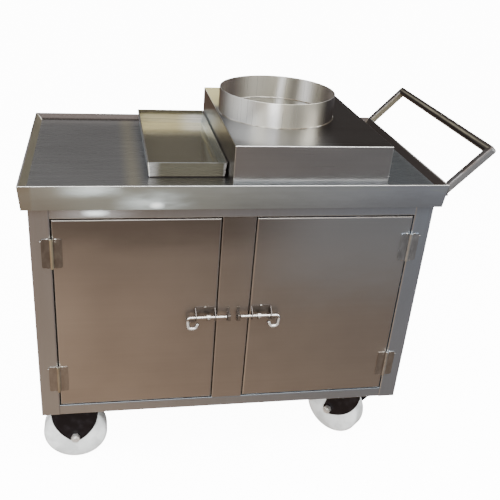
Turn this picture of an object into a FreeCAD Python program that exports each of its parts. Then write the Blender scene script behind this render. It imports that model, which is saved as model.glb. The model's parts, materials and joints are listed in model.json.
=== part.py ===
import FreeCAD, Part
import math
import os

# Stainless serving trolley: a two-door cabinet on castors under a rimmed worktop, with a
# pot well in a raised box, a lift-out tray, a push handle and a sliding bolt on each door.
# Millimetres. +Z is up, +X runs towards the handle and the doors face -Y. The origin lies
# on the floor, below the middle of the whole trolley.

Vec = FreeCAD.Vector
X_WAY = Vec(1, 0, 0)
Y_WAY = Vec(0, 1, 0)
Z_WAY = Vec(0, 0, 1)

# Sheet and tube
SHEET = 1.5
SHEET_BEND = 2.0
TUBE_WALL = 1.5
TUBE_CORNER = 2.5

# Cabinet
CABINET_WIDTH = 868.0
CABINET_DEPTH = 472.0
CABINET_HEIGHT = 564.5
POST_SIDE = 42.0
RAIL_DEPTH = 25.0
TOP_RAIL_HEIGHT = 62.5
BOTTOM_RAIL_HEIGHT = 26.5
MULLION_WIDTH = 72.0
DOOR_STOP_WIDTH = 10.0
PANEL_RECESS = 2.0
PANEL_FLANGE = 15.0
SHELF_SKIRT = 18.0
STIFFENER_WIDTH = 60.0
STIFFENER_HEIGHT = 25.0
STIFFENER_SPACING = 300.0

# Worktop
OVERHANG = 16.0
APRON_HEIGHT = 53.0
APRON_TAPER = 4.5
APRON_LIP = 6.0
RIM_HEIGHT = 13.5
RIM_CREST = 3.0
RIM_CREST_ROUND = 1.2

# Pot box and well
BOX_WIDTH = 337.0
BOX_HEIGHT = 92.5
BOX_FROM_LEFT = 413.5
BOX_MARGIN = 1.5
BOX_FLANGE = 12.0
WELL_RADIUS = 133.5
WELL_WALL = 2.0
WELL_RISE = 54.5
WELL_FROM_BOX_EDGE = 4.5
WELL_FROM_FRONT = 249.0
WELL_EDGE_ROUND = 0.8
WELD_GAP = 0.3

# Lift-out tray
TRAY_WIDTH = 169.5
TRAY_HEIGHT = 34.0
TRAY_TAPER = 3.0
TRAY_CORNER = 3.0
TRAY_HEM = 8.0
TRAY_FROM_BOX = 2.0
TRAY_FROM_FRONT = 64.0
TRAY_FROM_BACK = 12.0

# Push handle
HANDLE_TUBE = 18.0
HANDLE_WALL = 1.2
HANDLE_REACH = 91.0
HANDLE_ANGLE = 46.5
HANDLE_DROP = 22.0
HANDLE_CORNER = 7.0
HANDLE_ROUND = 4.5

# Doors and hinges
DOOR_GAP = 2.5
DOOR_DEPTH = 20.0
DOOR_SHEET = 1.2
DOOR_BEND = 3.5
DOOR_LIP = 14.0
HINGE_HEIGHT = 66.0
HINGE_FROM_DOOR_END = 75.0
LEAF_WIDTH = 21.0
LEAF_SHEET = 2.0
LEAF_CORNER = 4.0
KNUCKLE_RADIUS = 3.8
KNUCKLE_COUNT = 5
KNUCKLE_GAP = 0.3
HINGE_PIN_RADIUS = 2.0
HINGE_PIN_HEAD = 1.2
RUNNING_FIT = 0.05
TURNING_ROOM = 0.4

# Sliding bolts
BOLT_RADIUS = 4.0
BOLT_STANDOFF = 14.0
BOLT_FROM_BASE = 263.0
BOLT_TIP = 15.5
BOLT_LENGTH = 90.0
BOLT_BEND = 7.0
GRIP_DROP = 28.0
GRIP_WIDTH = 15.0
GRIP_LEAN = 3.5
GRIP_RETURN_LEAN = 6.5
GRIP_RETURN = 13.0
BRACKET_SHEET = 2.0
BRACKET_WIDTH = 46.0
BRACKET_FROM_DOOR_EDGE = 2.5
BRACKET_NOSE = 8.0
BRACKET_RISE = 20.0
GUIDE_ROOM = 0.3
COLLAR_RADIUS = 7.0
COLLAR_WIDTH = 8.0
COLLAR_FROM_TIP = 38.5
KEEPER_WIDTH = 6.0
KEEPER_ROOM = 1.5
KEEPER_FLANGE = 10.0

# Castors
CASTOR_HEIGHT = 195.0
CASTOR_INSET_X = 71.0
CASTOR_INSET_Y = 88.0
PAD_SIDE = 124.0
PAD_SHEET = 4.0
CASTOR_PLATE_LENGTH = 112.0
CASTOR_PLATE_WIDTH = 90.0
CASTOR_SHEET = 4.0
CASTOR_PLATE_CORNER = 8.0
CASTOR_BOLT_SPACING_X = 70.0
CASTOR_BOLT_SPACING_Y = 44.0
CASTOR_BOLT_RADIUS = 4.0
CASTOR_BOLT_ROOM = 0.4
CASTOR_BOLT_FLATS = 13.0
CASTOR_BOLT_HEAD = 5.5
CASTOR_NUT_HEIGHT = 6.5
CASTOR_BOLT_STUB = 2.5
FORK_SHEET = 3.5
FORK_TOP_FIXED = 112.0
FORK_TOP_SWIVEL = 78.0
FORK_SHOULDER_FIXED = 34.0
FORK_SHOULDER_SWIVEL = 8.0
FORK_NOSE = 15.0
FORK_BEND = 3.0
CASTOR_TRAIL = 46.0
FRONT_SWIVEL_ANGLE = 130.0
BACK_SWIVEL_ANGLE = 160.0
FIXED_ANGLE = 180.0
RACE_RADIUS = 30.0
RACE_HEIGHT = 8.0
RACE_GAP = 0.3
KING_PIN_RADIUS = 8.0
KING_PIN_HEAD_RADIUS = 13.0
KING_PIN_HEAD = 6.0
WHEEL_RADIUS = 78.0
WHEEL_WIDTH = 44.0
WHEEL_EDGE = 13.0
WHEEL_CROWN = 3.5
HUB_RADIUS = 21.0
HUB_WIDTH = 64.0
HUB_SIDE_GAP = 0.6
BUSH_RADIUS = 10.0
BUSH_FIT = 0.02
AXLE_RADIUS = 6.0
AXLE_FLATS = 19.0
AXLE_HEAD = 7.0
AXLE_NUT = 10.0
AXLE_STUB = 4.0

# Slack for finding edges by their place
PICK_SLACK = 0.01

# Places worked out from the sizes above
KEEPER_REACH = BOLT_STANDOFF + BOLT_RADIUS + KEEPER_ROOM + BRACKET_SHEET
FRONT_REACH = max(BOLT_STANDOFF + BRACKET_NOSE, KEEPER_REACH, OVERHANG)
CENTRE_X = -HANDLE_REACH / 2
CENTRE_Y = (FRONT_REACH - OVERHANG) / 2
LEFT = CENTRE_X - CABINET_WIDTH / 2
RIGHT = CENTRE_X + CABINET_WIDTH / 2
FRONT = CENTRE_Y - CABINET_DEPTH / 2
BACK = CENTRE_Y + CABINET_DEPTH / 2
BASE = CASTOR_HEIGHT
DECK_UNDER = BASE + CABINET_HEIGHT
DECK_TOP = DECK_UNDER + SHEET
RIM_TOP = DECK_TOP + RIM_HEIGHT
APRON_BOTTOM = RIM_TOP - APRON_HEIGHT
TABLE_LEFT = LEFT - OVERHANG
TABLE_RIGHT = RIGHT + OVERHANG
TABLE_FRONT = FRONT - OVERHANG
TABLE_BACK = BACK + OVERHANG
RIM_SLOPE = OVERHANG - RIM_CREST
OPENING_BOTTOM = BASE + BOTTOM_RAIL_HEIGHT
OPENING_TOP = DECK_UNDER - TOP_RAIL_HEIGHT
DOOR_BOTTOM = OPENING_BOTTOM + DOOR_GAP
DOOR_TOP = OPENING_TOP - DOOR_GAP
DOOR_NEAR = MULLION_WIDTH / 2 + DOOR_GAP
DOOR_FAR = CABINET_WIDTH / 2 - POST_SIDE - DOOR_GAP
HINGE_OFFSET = DOOR_FAR + DOOR_GAP / 2
BOLT_Z = BASE + BOLT_FROM_BASE
BOLT_Y = FRONT - BOLT_STANDOFF
BOX_LEFT = LEFT + BOX_FROM_LEFT
BOX_RIGHT = BOX_LEFT + BOX_WIDTH
BOX_TOP = DECK_TOP + BOX_HEIGHT
FORK_INNER = HUB_WIDTH / 2 + HUB_SIDE_GAP
FORK_OUTER = FORK_INNER + FORK_SHEET
PLATE_TOP = BASE - PAD_SHEET
PLATE_BOTTOM = PLATE_TOP - CASTOR_SHEET
CROWN_TOP = PLATE_BOTTOM - RACE_HEIGHT - RACE_GAP
CROWN_BOTTOM = CROWN_TOP - CASTOR_SHEET


def box(x0, x1, y0, y1, z0, z1):
    """Block between two corners."""
    return Part.makeBox(x1 - x0, y1 - y0, z1 - z0, Vec(x0, y0, z0))


def cylinder(radius, height, start, way=Z_WAY):
    """Round bar from a start point along a direction."""
    return Part.makeCylinder(radius, height, start, way)


def anywhere(point):
    """Accept every edge."""
    return True


def edges_along(shape, way, keep=anywhere):
    """Straight edges parallel to a direction whose middle passes a test."""
    chosen = []
    for edge in shape.Edges:
        if not isinstance(edge.Curve, Part.Line):
            continue
        tangent = edge.tangentAt(edge.FirstParameter)
        if abs(tangent.dot(way)) > 0.999 and keep(edge.CenterOfMass):
            chosen.append(edge)
    return chosen


def prism(points, way):
    """Solid swept from a closed outline of corner points along a vector."""
    outline = Part.makePolygon(points + points[:1])
    return Part.Face(outline).extrude(way)


def hollow_bar(x0, x1, y0, y1, z0, z1, along):
    """Rectangular tube that runs along one axis, with rounded corners."""
    outer = box(x0, x1, y0, y1, z0, z1)
    outer = outer.makeFillet(TUBE_CORNER, edges_along(outer, along))
    wall = (Vec(1, 1, 1) - along) * TUBE_WALL
    bore = box(x0 + wall.x, x1 - wall.x, y0 + wall.y, y1 - wall.y, z0 + wall.z, z1 - wall.z)
    return outer.cut(bore)


def tangent_point(point, centre, radius, side):
    """Where a line from a point touches a circle, as plane coordinates; side is 1 or -1."""
    across = point[0] - centre[0]
    up = point[1] - centre[1]
    turn = math.atan2(up, across) + side * math.acos(radius / math.hypot(across, up))
    return (centre[0] + radius * math.cos(turn), centre[1] + radius * math.sin(turn))


def hexagon(flats, height, start, way):
    """Six-sided head or nut from its width across flats."""
    corner = flats / math.sqrt(3)
    points = []
    for step in range(6):
        turn = math.radians(60 * step)
        points.append(Vec(corner * math.cos(turn), corner * math.sin(turn), 0))
    head = prism(points, Z_WAY * height)
    head.Placement = FreeCAD.Placement(start, FreeCAD.Rotation(Z_WAY, way))
    return head


def rounded_path(points, radius):
    """Wire through corner points whose corners are arcs of one radius."""
    edges = []
    start = points[0]
    for before, corner, after in zip(points, points[1:], points[2:]):
        arriving = (before - corner).normalize()
        leaving = (after - corner).normalize()
        half = arriving.getAngle(leaving) / 2
        setback = radius / math.tan(half)
        inner = (arriving + leaving).normalize()
        centre = corner + inner * (radius / math.sin(half))
        first = corner + arriving * setback
        last = corner + leaving * setback
        edges.append(Part.LineSegment(start, first).toShape())
        edges.append(Part.Arc(first, centre - inner * radius, last).toShape())
        start = last
    edges.append(Part.LineSegment(start, points[-1]).toShape())
    return Part.Wire(edges)


def opposite(shape):
    """The same piece mirrored to the left half of the cabinet."""
    return shape.mirror(Vec(CENTRE_X, 0, 0), X_WAY)


def export(name, *solids):
    """Write one node from its solids."""
    shape = solids[0] if len(solids) == 1 else Part.makeCompound(list(solids))
    shape.exportStep("parts/" + name + ".step")


def export_pair(name, *solids):
    """Write a right-hand node and its mirrored left-hand twin."""
    export("right_" + name, *solids)
    export("left_" + name, *[opposite(solid) for solid in solids])


# Worktop

def table_outline(inset, z):
    """Rectangle parallel to the worktop's outer edge."""
    corners = [
        Vec(TABLE_LEFT + inset, TABLE_FRONT + inset, z),
        Vec(TABLE_RIGHT - inset, TABLE_FRONT + inset, z),
        Vec(TABLE_RIGHT - inset, TABLE_BACK - inset, z),
        Vec(TABLE_LEFT + inset, TABLE_BACK - inset, z),
    ]
    return Part.makePolygon(corners + corners[:1])


def table_block(inset_low, z_low, inset_high, z_high):
    """Block with sloping sides between two rectangles of the worktop."""
    wires = [table_outline(inset_low, z_low), table_outline(inset_high, z_high)]
    return Part.makeLoft(wires, True, True)


def apron_inset(z):
    """How far the apron's outer face lies inside the rim at a height."""
    return APRON_TAPER * (RIM_TOP - z) / APRON_HEIGHT


def slope_inset(z):
    """How far the rim's inner slope lies inside the rim at a height."""
    return RIM_CREST + RIM_SLOPE * (RIM_TOP - z) / RIM_HEIGHT


def worktop_block():
    """Outer form of the worktop, without its hollows."""
    return table_block(APRON_TAPER, APRON_BOTTOM, 0, RIM_TOP)


def worktop():
    """Folded top with a sloping raised rim, a tapered apron and a return lip."""
    recess = table_block(slope_inset(DECK_TOP), DECK_TOP, RIM_CREST, RIM_TOP)
    lip_top = APRON_BOTTOM + SHEET
    under = table_block(
        apron_inset(lip_top) + SHEET, lip_top, apron_inset(DECK_UNDER) + SHEET, DECK_UNDER
    )
    slope_length = math.hypot(RIM_SLOPE, RIM_HEIGHT)
    slope_wall = SHEET * slope_length / RIM_HEIGHT
    fold_top = RIM_TOP - 2 * SHEET
    fold = table_block(
        apron_inset(DECK_UNDER) + SHEET, DECK_UNDER, apron_inset(fold_top) + SHEET, fold_top
    )
    deck_sheet = table_block(
        slope_inset(DECK_UNDER) - slope_wall, DECK_UNDER, RIM_CREST - slope_wall, RIM_TOP
    )
    lip_edge = APRON_TAPER + SHEET + APRON_LIP
    mouth = table_block(lip_edge, APRON_BOTTOM, lip_edge, lip_top)
    top = worktop_block().cut([recess, under, fold.cut(deck_sheet), mouth])
    crest = [
        edge
        for edge in top.Edges
        if abs(edge.CenterOfMass.z - RIM_TOP) < PICK_SLACK and edge.Length > CABINET_DEPTH
    ]
    return top.makeFillet(RIM_CREST_ROUND, crest).removeSplitter()


def worktop_stiffeners():
    """Hat channels that carry the deck between the front and back rails."""
    channels = []
    for side in (-1, 1):
        middle = CENTRE_X + side * STIFFENER_SPACING / 2
        web = STIFFENER_WIDTH / 2 - PANEL_FLANGE
        y0 = FRONT + RAIL_DEPTH
        y1 = BACK - RAIL_DEPTH
        low = DECK_UNDER - STIFFENER_HEIGHT
        hat = box(middle - web, middle + web, y0, y1, low, DECK_UNDER)
        half = STIFFENER_WIDTH / 2
        hat = hat.fuse(box(middle - half, middle + half, y0, y1, DECK_UNDER - SHEET, DECK_UNDER))
        trough = box(middle - web + SHEET, middle + web - SHEET, y0, y1, low + SHEET, DECK_UNDER)
        channels.append(hat.cut(trough))
    return channels


# Cabinet frame and panels

def posts():
    """Corner posts by name."""
    made = {}
    for depth_name, y0 in (("front", FRONT), ("back", BACK - POST_SIDE)):
        for side_name, x0 in (("left", LEFT), ("right", RIGHT - POST_SIDE)):
            post = hollow_bar(x0, x0 + POST_SIDE, y0, y0 + POST_SIDE, BASE, DECK_UNDER, Z_WAY)
            made[depth_name + "_" + side_name + "_post"] = post
    return made


def cross_rail(y0, z0, z1):
    """Rail between the left and right posts."""
    return hollow_bar(LEFT + POST_SIDE, RIGHT - POST_SIDE, y0, y0 + RAIL_DEPTH, z0, z1, X_WAY)


def side_rail(x0, z0, z1):
    """Rail between a front and a back post."""
    return hollow_bar(x0, x0 + RAIL_DEPTH, FRONT + POST_SIDE, BACK - POST_SIDE, z0, z1, Y_WAY)


def mullion():
    """Centre post folded as a hat, whose flanges stop both doors from behind."""
    half = MULLION_WIDTH / 2
    stop = FRONT + DOOR_DEPTH + DOOR_GAP / 2
    hat = box(CENTRE_X - half, CENTRE_X + half, FRONT, stop + SHEET, OPENING_BOTTOM, OPENING_TOP)
    hat = hat.makeFillet(SHEET_BEND, edges_along(hat, Z_WAY, lambda point: point.y < FRONT + SHEET))
    reach = half + DOOR_GAP + DOOR_STOP_WIDTH
    flange = box(
        CENTRE_X - reach, CENTRE_X + reach, stop, stop + SHEET, OPENING_BOTTOM, OPENING_TOP
    )
    inside = half - SHEET
    trough = box(
        CENTRE_X - inside, CENTRE_X + inside, FRONT + SHEET, stop + SHEET, OPENING_BOTTOM, OPENING_TOP
    )
    return hat.fuse(flange).cut(trough).removeSplitter()


def flanged_panel(width, height):
    """Sheet in the XZ plane facing -Y with its four edges turned back."""
    pan = box(0, width, 0, PANEL_FLANGE, 0, height)
    front_edges = edges_along(pan, X_WAY, lambda point: point.y < SHEET)
    front_edges += edges_along(pan, Z_WAY, lambda point: point.y < SHEET)
    pan = pan.makeFillet(SHEET_BEND, front_edges)
    return pan.cut(box(SHEET, width - SHEET, SHEET, PANEL_FLANGE, SHEET, height - SHEET))


def back_panel():
    """Sheet between the back posts and rails."""
    panel = flanged_panel(CABINET_WIDTH - 2 * POST_SIDE, OPENING_TOP - OPENING_BOTTOM)
    panel.rotate(Vec(0, 0, 0), Z_WAY, 180)
    panel.translate(Vec(RIGHT - POST_SIDE, BACK - PANEL_RECESS, OPENING_BOTTOM))
    return panel


def side_panel():
    """Right-hand sheet between the posts and the side rails."""
    panel = flanged_panel(CABINET_DEPTH - 2 * POST_SIDE, OPENING_TOP - OPENING_BOTTOM)
    panel.rotate(Vec(0, 0, 0), Z_WAY, 90)
    panel.translate(Vec(RIGHT - PANEL_RECESS, FRONT + POST_SIDE, OPENING_BOTTOM))
    return panel


def shelf_block(inset, z0, z1):
    """Floor outline between the rails, notched round the posts and drawn in by an inset."""
    rail = RAIL_DEPTH + inset
    post = POST_SIDE + inset
    block = box(LEFT + rail, RIGHT - rail, FRONT + rail, BACK - rail, z0, z1)
    notches = []
    for x0, x1 in ((LEFT, LEFT + post), (RIGHT - post, RIGHT)):
        for y0, y1 in ((FRONT, FRONT + post), (BACK - post, BACK)):
            notches.append(box(x0, x1, y0, y1, z0, z1))
    return block.cut(notches)


def bottom_shelf():
    """Cabinet floor with a skirt turned down inside the rails."""
    top = OPENING_BOTTOM
    low = top - SHELF_SKIRT
    return shelf_block(0, low, top).cut(shelf_block(SHEET, low, top - SHEET))


# Pot box, well and tray

def well_axis():
    """Foot of the well's axis on the deck."""
    return Vec(BOX_LEFT + WELL_FROM_BOX_EDGE + WELL_RADIUS, FRONT + WELL_FROM_FRONT, DECK_TOP)


def pot_box():
    """Raised box on the deck, open below inside a turned-in flange, bored for the well."""
    y0 = FRONT + BOX_MARGIN
    y1 = BACK - BOX_MARGIN
    case = box(BOX_LEFT, BOX_RIGHT, y0, y1, DECK_TOP, BOX_TOP)
    bends = edges_along(case, Z_WAY)
    bends += edges_along(case, X_WAY, lambda point: point.z > DECK_TOP + SHEET)
    bends += edges_along(case, Y_WAY, lambda point: point.z > DECK_TOP + SHEET)
    case = case.makeFillet(SHEET_BEND, bends)
    inside = box(
        BOX_LEFT + SHEET, BOX_RIGHT - SHEET, y0 + SHEET, y1 - SHEET, DECK_TOP + SHEET, BOX_TOP - SHEET
    )
    mouth = box(
        BOX_LEFT + BOX_FLANGE,
        BOX_RIGHT - BOX_FLANGE,
        y0 + BOX_FLANGE,
        y1 - BOX_FLANGE,
        DECK_TOP,
        DECK_TOP + SHEET,
    )
    bore = cylinder(WELL_RADIUS + WELD_GAP, BOX_HEIGHT, well_axis())
    return case.cut([inside, mouth, bore])


def pot_well():
    """Rolled sleeve that stands on the deck and rises through the box as a collar."""
    height = BOX_HEIGHT + WELL_RISE
    sleeve = cylinder(WELL_RADIUS, height, well_axis())
    sleeve = sleeve.cut(cylinder(WELL_RADIUS - WELL_WALL, height, well_axis()))
    rim = [edge for edge in sleeve.Edges if edge.CenterOfMass.z > BOX_TOP + WELL_RISE - SHEET]
    rim = [edge for edge in rim if isinstance(edge.Curve, Part.Circle)]
    return sleeve.makeFillet(WELL_EDGE_ROUND, rim)


def tray_block(inset, z0, z1):
    """Block inside the tray's flared sides, drawn in by a wall, between two heights."""
    right = BOX_LEFT - TRAY_FROM_BOX
    left = right - TRAY_WIDTH
    front = FRONT + TRAY_FROM_FRONT
    back = BACK - TRAY_FROM_BACK
    wires = []
    for z in (z0, z1):
        draw = inset + TRAY_TAPER * (DECK_TOP + TRAY_HEIGHT - z) / TRAY_HEIGHT
        corners = [
            Vec(left + draw, front + draw, z),
            Vec(right - draw, front + draw, z),
            Vec(right - draw, back - draw, z),
            Vec(left + draw, back - draw, z),
        ]
        wires.append(Part.makePolygon(corners + corners[:1]))
    return Part.makeLoft(wires, True, True)


def lift_out_tray():
    """Folded pan with flared sides and a hem turned in along its edge."""
    top = DECK_TOP + TRAY_HEIGHT
    pan = tray_block(0, DECK_TOP, top)
    folds = [edge for edge in pan.Edges if edge.BoundBox.ZLength > TRAY_HEM]
    pan = pan.makeFillet(TRAY_CORNER, folds)
    inside = tray_block(SHEET, DECK_TOP + SHEET, top - TRAY_HEM)
    mouth = tray_block(2 * SHEET, top - TRAY_HEM, top)
    return pan.cut([inside, mouth])


# Push handle

def lengthways(form, root):
    """Edges of a flat U of tube that run along it, apart from those of its open ends."""
    return [
        edge
        for edge in form.Edges
        if edge.BoundBox.ZLength < PICK_SLACK and edge.BoundBox.XMax > root + PICK_SLACK
    ]


def handle_frame():
    """Outer form and bore of a square tube run in a U, flat, before the handle is tilted."""
    tilt = math.radians(HANDLE_ANGLE)
    lost_to_rounding = HANDLE_ROUND * (math.cos(tilt) + math.sin(tilt) - 1)
    length = (HANDLE_REACH + lost_to_rounding) / math.cos(tilt)
    root = -2 * HANDLE_TUBE
    bar = box(root, length, TABLE_FRONT, TABLE_BACK, 0, HANDLE_TUBE)
    inner = HANDLE_TUBE
    gap = box(root, length - inner, TABLE_FRONT + inner, TABLE_BACK - inner, 0, HANDLE_TUBE)
    frame = bar.cut(gap)
    tips = edges_along(frame, Z_WAY, lambda point: point.x > length - HANDLE_CORNER)
    frame = frame.makeFillet(HANDLE_CORNER, tips)
    frame = frame.makeFillet(HANDLE_ROUND, lengthways(frame, root))
    outer_wall = HANDLE_WALL
    inner_wall = HANDLE_TUBE - HANDLE_WALL
    bore = box(
        root, length - outer_wall, TABLE_FRONT + outer_wall, TABLE_BACK - outer_wall,
        outer_wall, inner_wall,
    )
    core = box(
        root, length - inner_wall, TABLE_FRONT + inner_wall, TABLE_BACK - inner_wall,
        outer_wall, inner_wall,
    )
    bore = bore.cut(core)
    bore = bore.makeFillet(
        HANDLE_CORNER - HANDLE_WALL,
        edges_along(bore, Z_WAY, lambda point: point.x > length - HANDLE_CORNER),
    )
    bore = bore.makeFillet(HANDLE_ROUND - HANDLE_WALL, lengthways(bore, root))
    return frame, bore, length, root


def tilted(shape):
    """Piece of the handle turned up from the apron's end."""
    shape.rotate(Vec(0, 0, 0), Y_WAY, -HANDLE_ANGLE)
    shape.translate(Vec(TABLE_RIGHT, 0, RIM_TOP - HANDLE_DROP))
    return shape


def table_side(beyond):
    """Space on the table's side of its tapered right end, and a wall's thickness beyond it."""
    foot = TABLE_RIGHT - APRON_TAPER
    over_rim = RIM_TOP + CABINET_HEIGHT
    profile = [
        (TABLE_LEFT, BASE),
        (foot + beyond, BASE),
        (foot + beyond, APRON_BOTTOM),
        (TABLE_RIGHT + beyond, RIM_TOP),
        (TABLE_RIGHT + beyond, over_rim),
        (TABLE_LEFT, over_rim),
    ]
    return prism([Vec(x, TABLE_FRONT, z) for x, z in profile], Y_WAY * (TABLE_BACK - TABLE_FRONT))


def handle():
    """Two arms and a crossbar, mitred at the corners and closed where they meet the apron."""
    frame, bore, length, root = handle_frame()
    outside = HANDLE_TUBE
    mitre = length - HANDLE_TUBE
    low = Vec(0, 0, -outside)
    rise = Z_WAY * (3 * outside)

    def region(points):
        return prism([Vec(x, y, 0) + low for x, y in points], rise)

    front_arm = region([
        (root, TABLE_FRONT - outside),
        (length + outside, TABLE_FRONT - outside),
        (mitre, TABLE_FRONT + HANDLE_TUBE),
        (root, TABLE_FRONT + HANDLE_TUBE),
    ])
    back_arm = region([
        (root, TABLE_BACK + outside),
        (length + outside, TABLE_BACK + outside),
        (mitre, TABLE_BACK - HANDLE_TUBE),
        (root, TABLE_BACK - HANDLE_TUBE),
    ])
    crossbar = region([
        (length + outside, TABLE_FRONT - outside),
        (length + outside, TABLE_BACK + outside),
        (mitre, TABLE_BACK - HANDLE_TUBE),
        (mitre, TABLE_FRONT + HANDLE_TUBE),
    ])
    pieces = []
    for part_of in (front_arm, back_arm, crossbar):
        outer = tilted(frame.common(part_of)).cut(table_side(0))
        inner = tilted(bore.common(part_of)).cut(table_side(HANDLE_WALL))
        pieces.append(outer.cut(inner).Solids[0])
    return pieces


# Doors and hinges, made for the right-hand side

def door():
    """Folded door pan whose edges return behind it."""
    x0 = CENTRE_X + DOOR_NEAR
    x1 = CENTRE_X + DOOR_FAR
    back = FRONT + DOOR_DEPTH
    pan = box(x0, x1, FRONT, back, DOOR_BOTTOM, DOOR_TOP)
    bends = edges_along(pan, X_WAY, lambda point: point.y < FRONT + SHEET)
    bends += edges_along(pan, Z_WAY, lambda point: point.y < FRONT + SHEET)
    pan = pan.makeFillet(DOOR_BEND, bends)
    wall = DOOR_SHEET
    inside = box(
        x0 + wall, x1 - wall, FRONT + wall, back - wall, DOOR_BOTTOM + wall, DOOR_TOP - wall
    )
    lip = DOOR_LIP
    mouth = box(x0 + lip, x1 - lip, back - wall, back, DOOR_BOTTOM + lip, DOOR_TOP - lip)
    return pan.cut([inside, mouth])


def hinge_centres():
    """Middle heights of the lower and the upper hinge."""
    return (DOOR_BOTTOM + HINGE_FROM_DOOR_END, DOOR_TOP - HINGE_FROM_DOOR_END)


def hinge_leaf(middle, way, first):
    """One leaf with its knuckles; way is 1 outwards on the post and -1 on the door."""
    axis_x = CENTRE_X + HINGE_OFFSET
    axis_y = FRONT - KNUCKLE_RADIUS
    low = middle - HINGE_HEIGHT / 2
    end = axis_x + way * LEAF_WIDTH
    leaf = box(
        min(axis_x, end), max(axis_x, end), FRONT - LEAF_SHEET, FRONT, low, low + HINGE_HEIGHT
    )
    leaf = leaf.makeFillet(
        LEAF_CORNER, edges_along(leaf, Y_WAY, lambda point: abs(point.x - end) < LEAF_SHEET)
    )
    pitch = HINGE_HEIGHT / KNUCKLE_COUNT
    for number in range(KNUCKLE_COUNT):
        start = Vec(axis_x, axis_y, low + number * pitch)
        if number % 2 == first:
            foot = start + Z_WAY * (KNUCKLE_GAP / 2)
            leaf = leaf.fuse(cylinder(KNUCKLE_RADIUS, pitch - KNUCKLE_GAP, foot))
        else:
            foot = start - Z_WAY * (KNUCKLE_GAP / 2)
            leaf = leaf.cut(cylinder(KNUCKLE_RADIUS + TURNING_ROOM, pitch + KNUCKLE_GAP, foot))
    bore = cylinder(HINGE_PIN_RADIUS + RUNNING_FIT, HINGE_HEIGHT, Vec(axis_x, axis_y, low))
    return leaf.cut(bore)


def hinge_pin(middle):
    """Pin with a button head at each end of the knuckles."""
    foot = Vec(CENTRE_X + HINGE_OFFSET, FRONT - KNUCKLE_RADIUS, middle - HINGE_HEIGHT / 2)
    pin = cylinder(HINGE_PIN_RADIUS, HINGE_HEIGHT, foot)
    for start in (foot - Z_WAY * HINGE_PIN_HEAD, foot + Z_WAY * HINGE_HEIGHT):
        pin = pin.fuse(cylinder(KNUCKLE_RADIUS, HINGE_PIN_HEAD, start))
    return pin


# Sliding bolts, made for the right-hand door

def bracket_ear(x0):
    """Guide plate standing off the door, with a round nose about the rod."""
    nose = (BOLT_Y, BOLT_Z)
    root = (FRONT, BOLT_Z + BRACKET_RISE)
    touch = tangent_point(root, nose, BRACKET_NOSE, 1)
    corners = [
        Vec(x0, FRONT, BOLT_Z - BRACKET_NOSE),
        Vec(x0, BOLT_Y, BOLT_Z - BRACKET_NOSE),
        Vec(x0, BOLT_Y - BRACKET_NOSE, BOLT_Z),
        Vec(x0, touch[0], touch[1]),
        Vec(x0, root[0], root[1]),
    ]
    edges = [
        Part.LineSegment(corners[0], corners[1]).toShape(),
        Part.Arc(corners[1], corners[2], corners[3]).toShape(),
        Part.LineSegment(corners[3], corners[4]).toShape(),
        Part.LineSegment(corners[4], corners[0]).toShape(),
    ]
    return Part.Face(Part.Wire(edges)).extrude(X_WAY * BRACKET_SHEET)


def bolt_bracket():
    """Plate on the door with a guide ear folded up at each end."""
    x0 = CENTRE_X + DOOR_NEAR + BRACKET_FROM_DOOR_EDGE
    x1 = x0 + BRACKET_WIDTH
    plate = box(
        x0, x1, FRONT - BRACKET_SHEET, FRONT, BOLT_Z - BRACKET_NOSE, BOLT_Z + BRACKET_RISE
    )
    bracket = plate.fuse([bracket_ear(x0), bracket_ear(x1 - BRACKET_SHEET)]).removeSplitter()
    bore = cylinder(BOLT_RADIUS + GUIDE_ROOM, BRACKET_WIDTH, Vec(x0, BOLT_Y, BOLT_Z), X_WAY)
    return bracket.cut(bore)


def bolt_rod():
    """Round rod whose outer end is bent down and back into an open grip."""
    tip = Vec(CENTRE_X + BOLT_TIP, BOLT_Y, BOLT_Z)
    heel = tip + X_WAY * BOLT_LENGTH
    low_far = heel - X_WAY * GRIP_LEAN - Z_WAY * GRIP_DROP
    low_near = low_far - X_WAY * GRIP_WIDTH
    end = low_near - X_WAY * GRIP_RETURN_LEAN + Z_WAY * GRIP_RETURN
    path = rounded_path([tip, heel, low_far, low_near, end], BOLT_BEND)
    section = Part.Wire(Part.makeCircle(BOLT_RADIUS, tip, X_WAY))
    rod = path.makePipeShell([section], True, True)
    ends = [
        edge
        for edge in rod.Edges
        if isinstance(edge.Curve, Part.Circle)
        and abs(edge.Curve.Radius - BOLT_RADIUS) < PICK_SLACK
        and min(edge.CenterOfMass.distanceToPoint(tip), edge.CenterOfMass.distanceToPoint(end)) < PICK_SLACK
    ]
    return rod.makeFillet(BOLT_RADIUS / 3, ends)


def bolt_collar():
    """Stop collar that keeps the rod between the guide ears."""
    foot = Vec(CENTRE_X + BOLT_TIP + COLLAR_FROM_TIP, BOLT_Y, BOLT_Z)
    collar = cylinder(COLLAR_RADIUS, COLLAR_WIDTH, foot, X_WAY)
    return collar.cut(cylinder(BOLT_RADIUS + RUNNING_FIT, COLLAR_WIDTH, foot, X_WAY))


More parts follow.
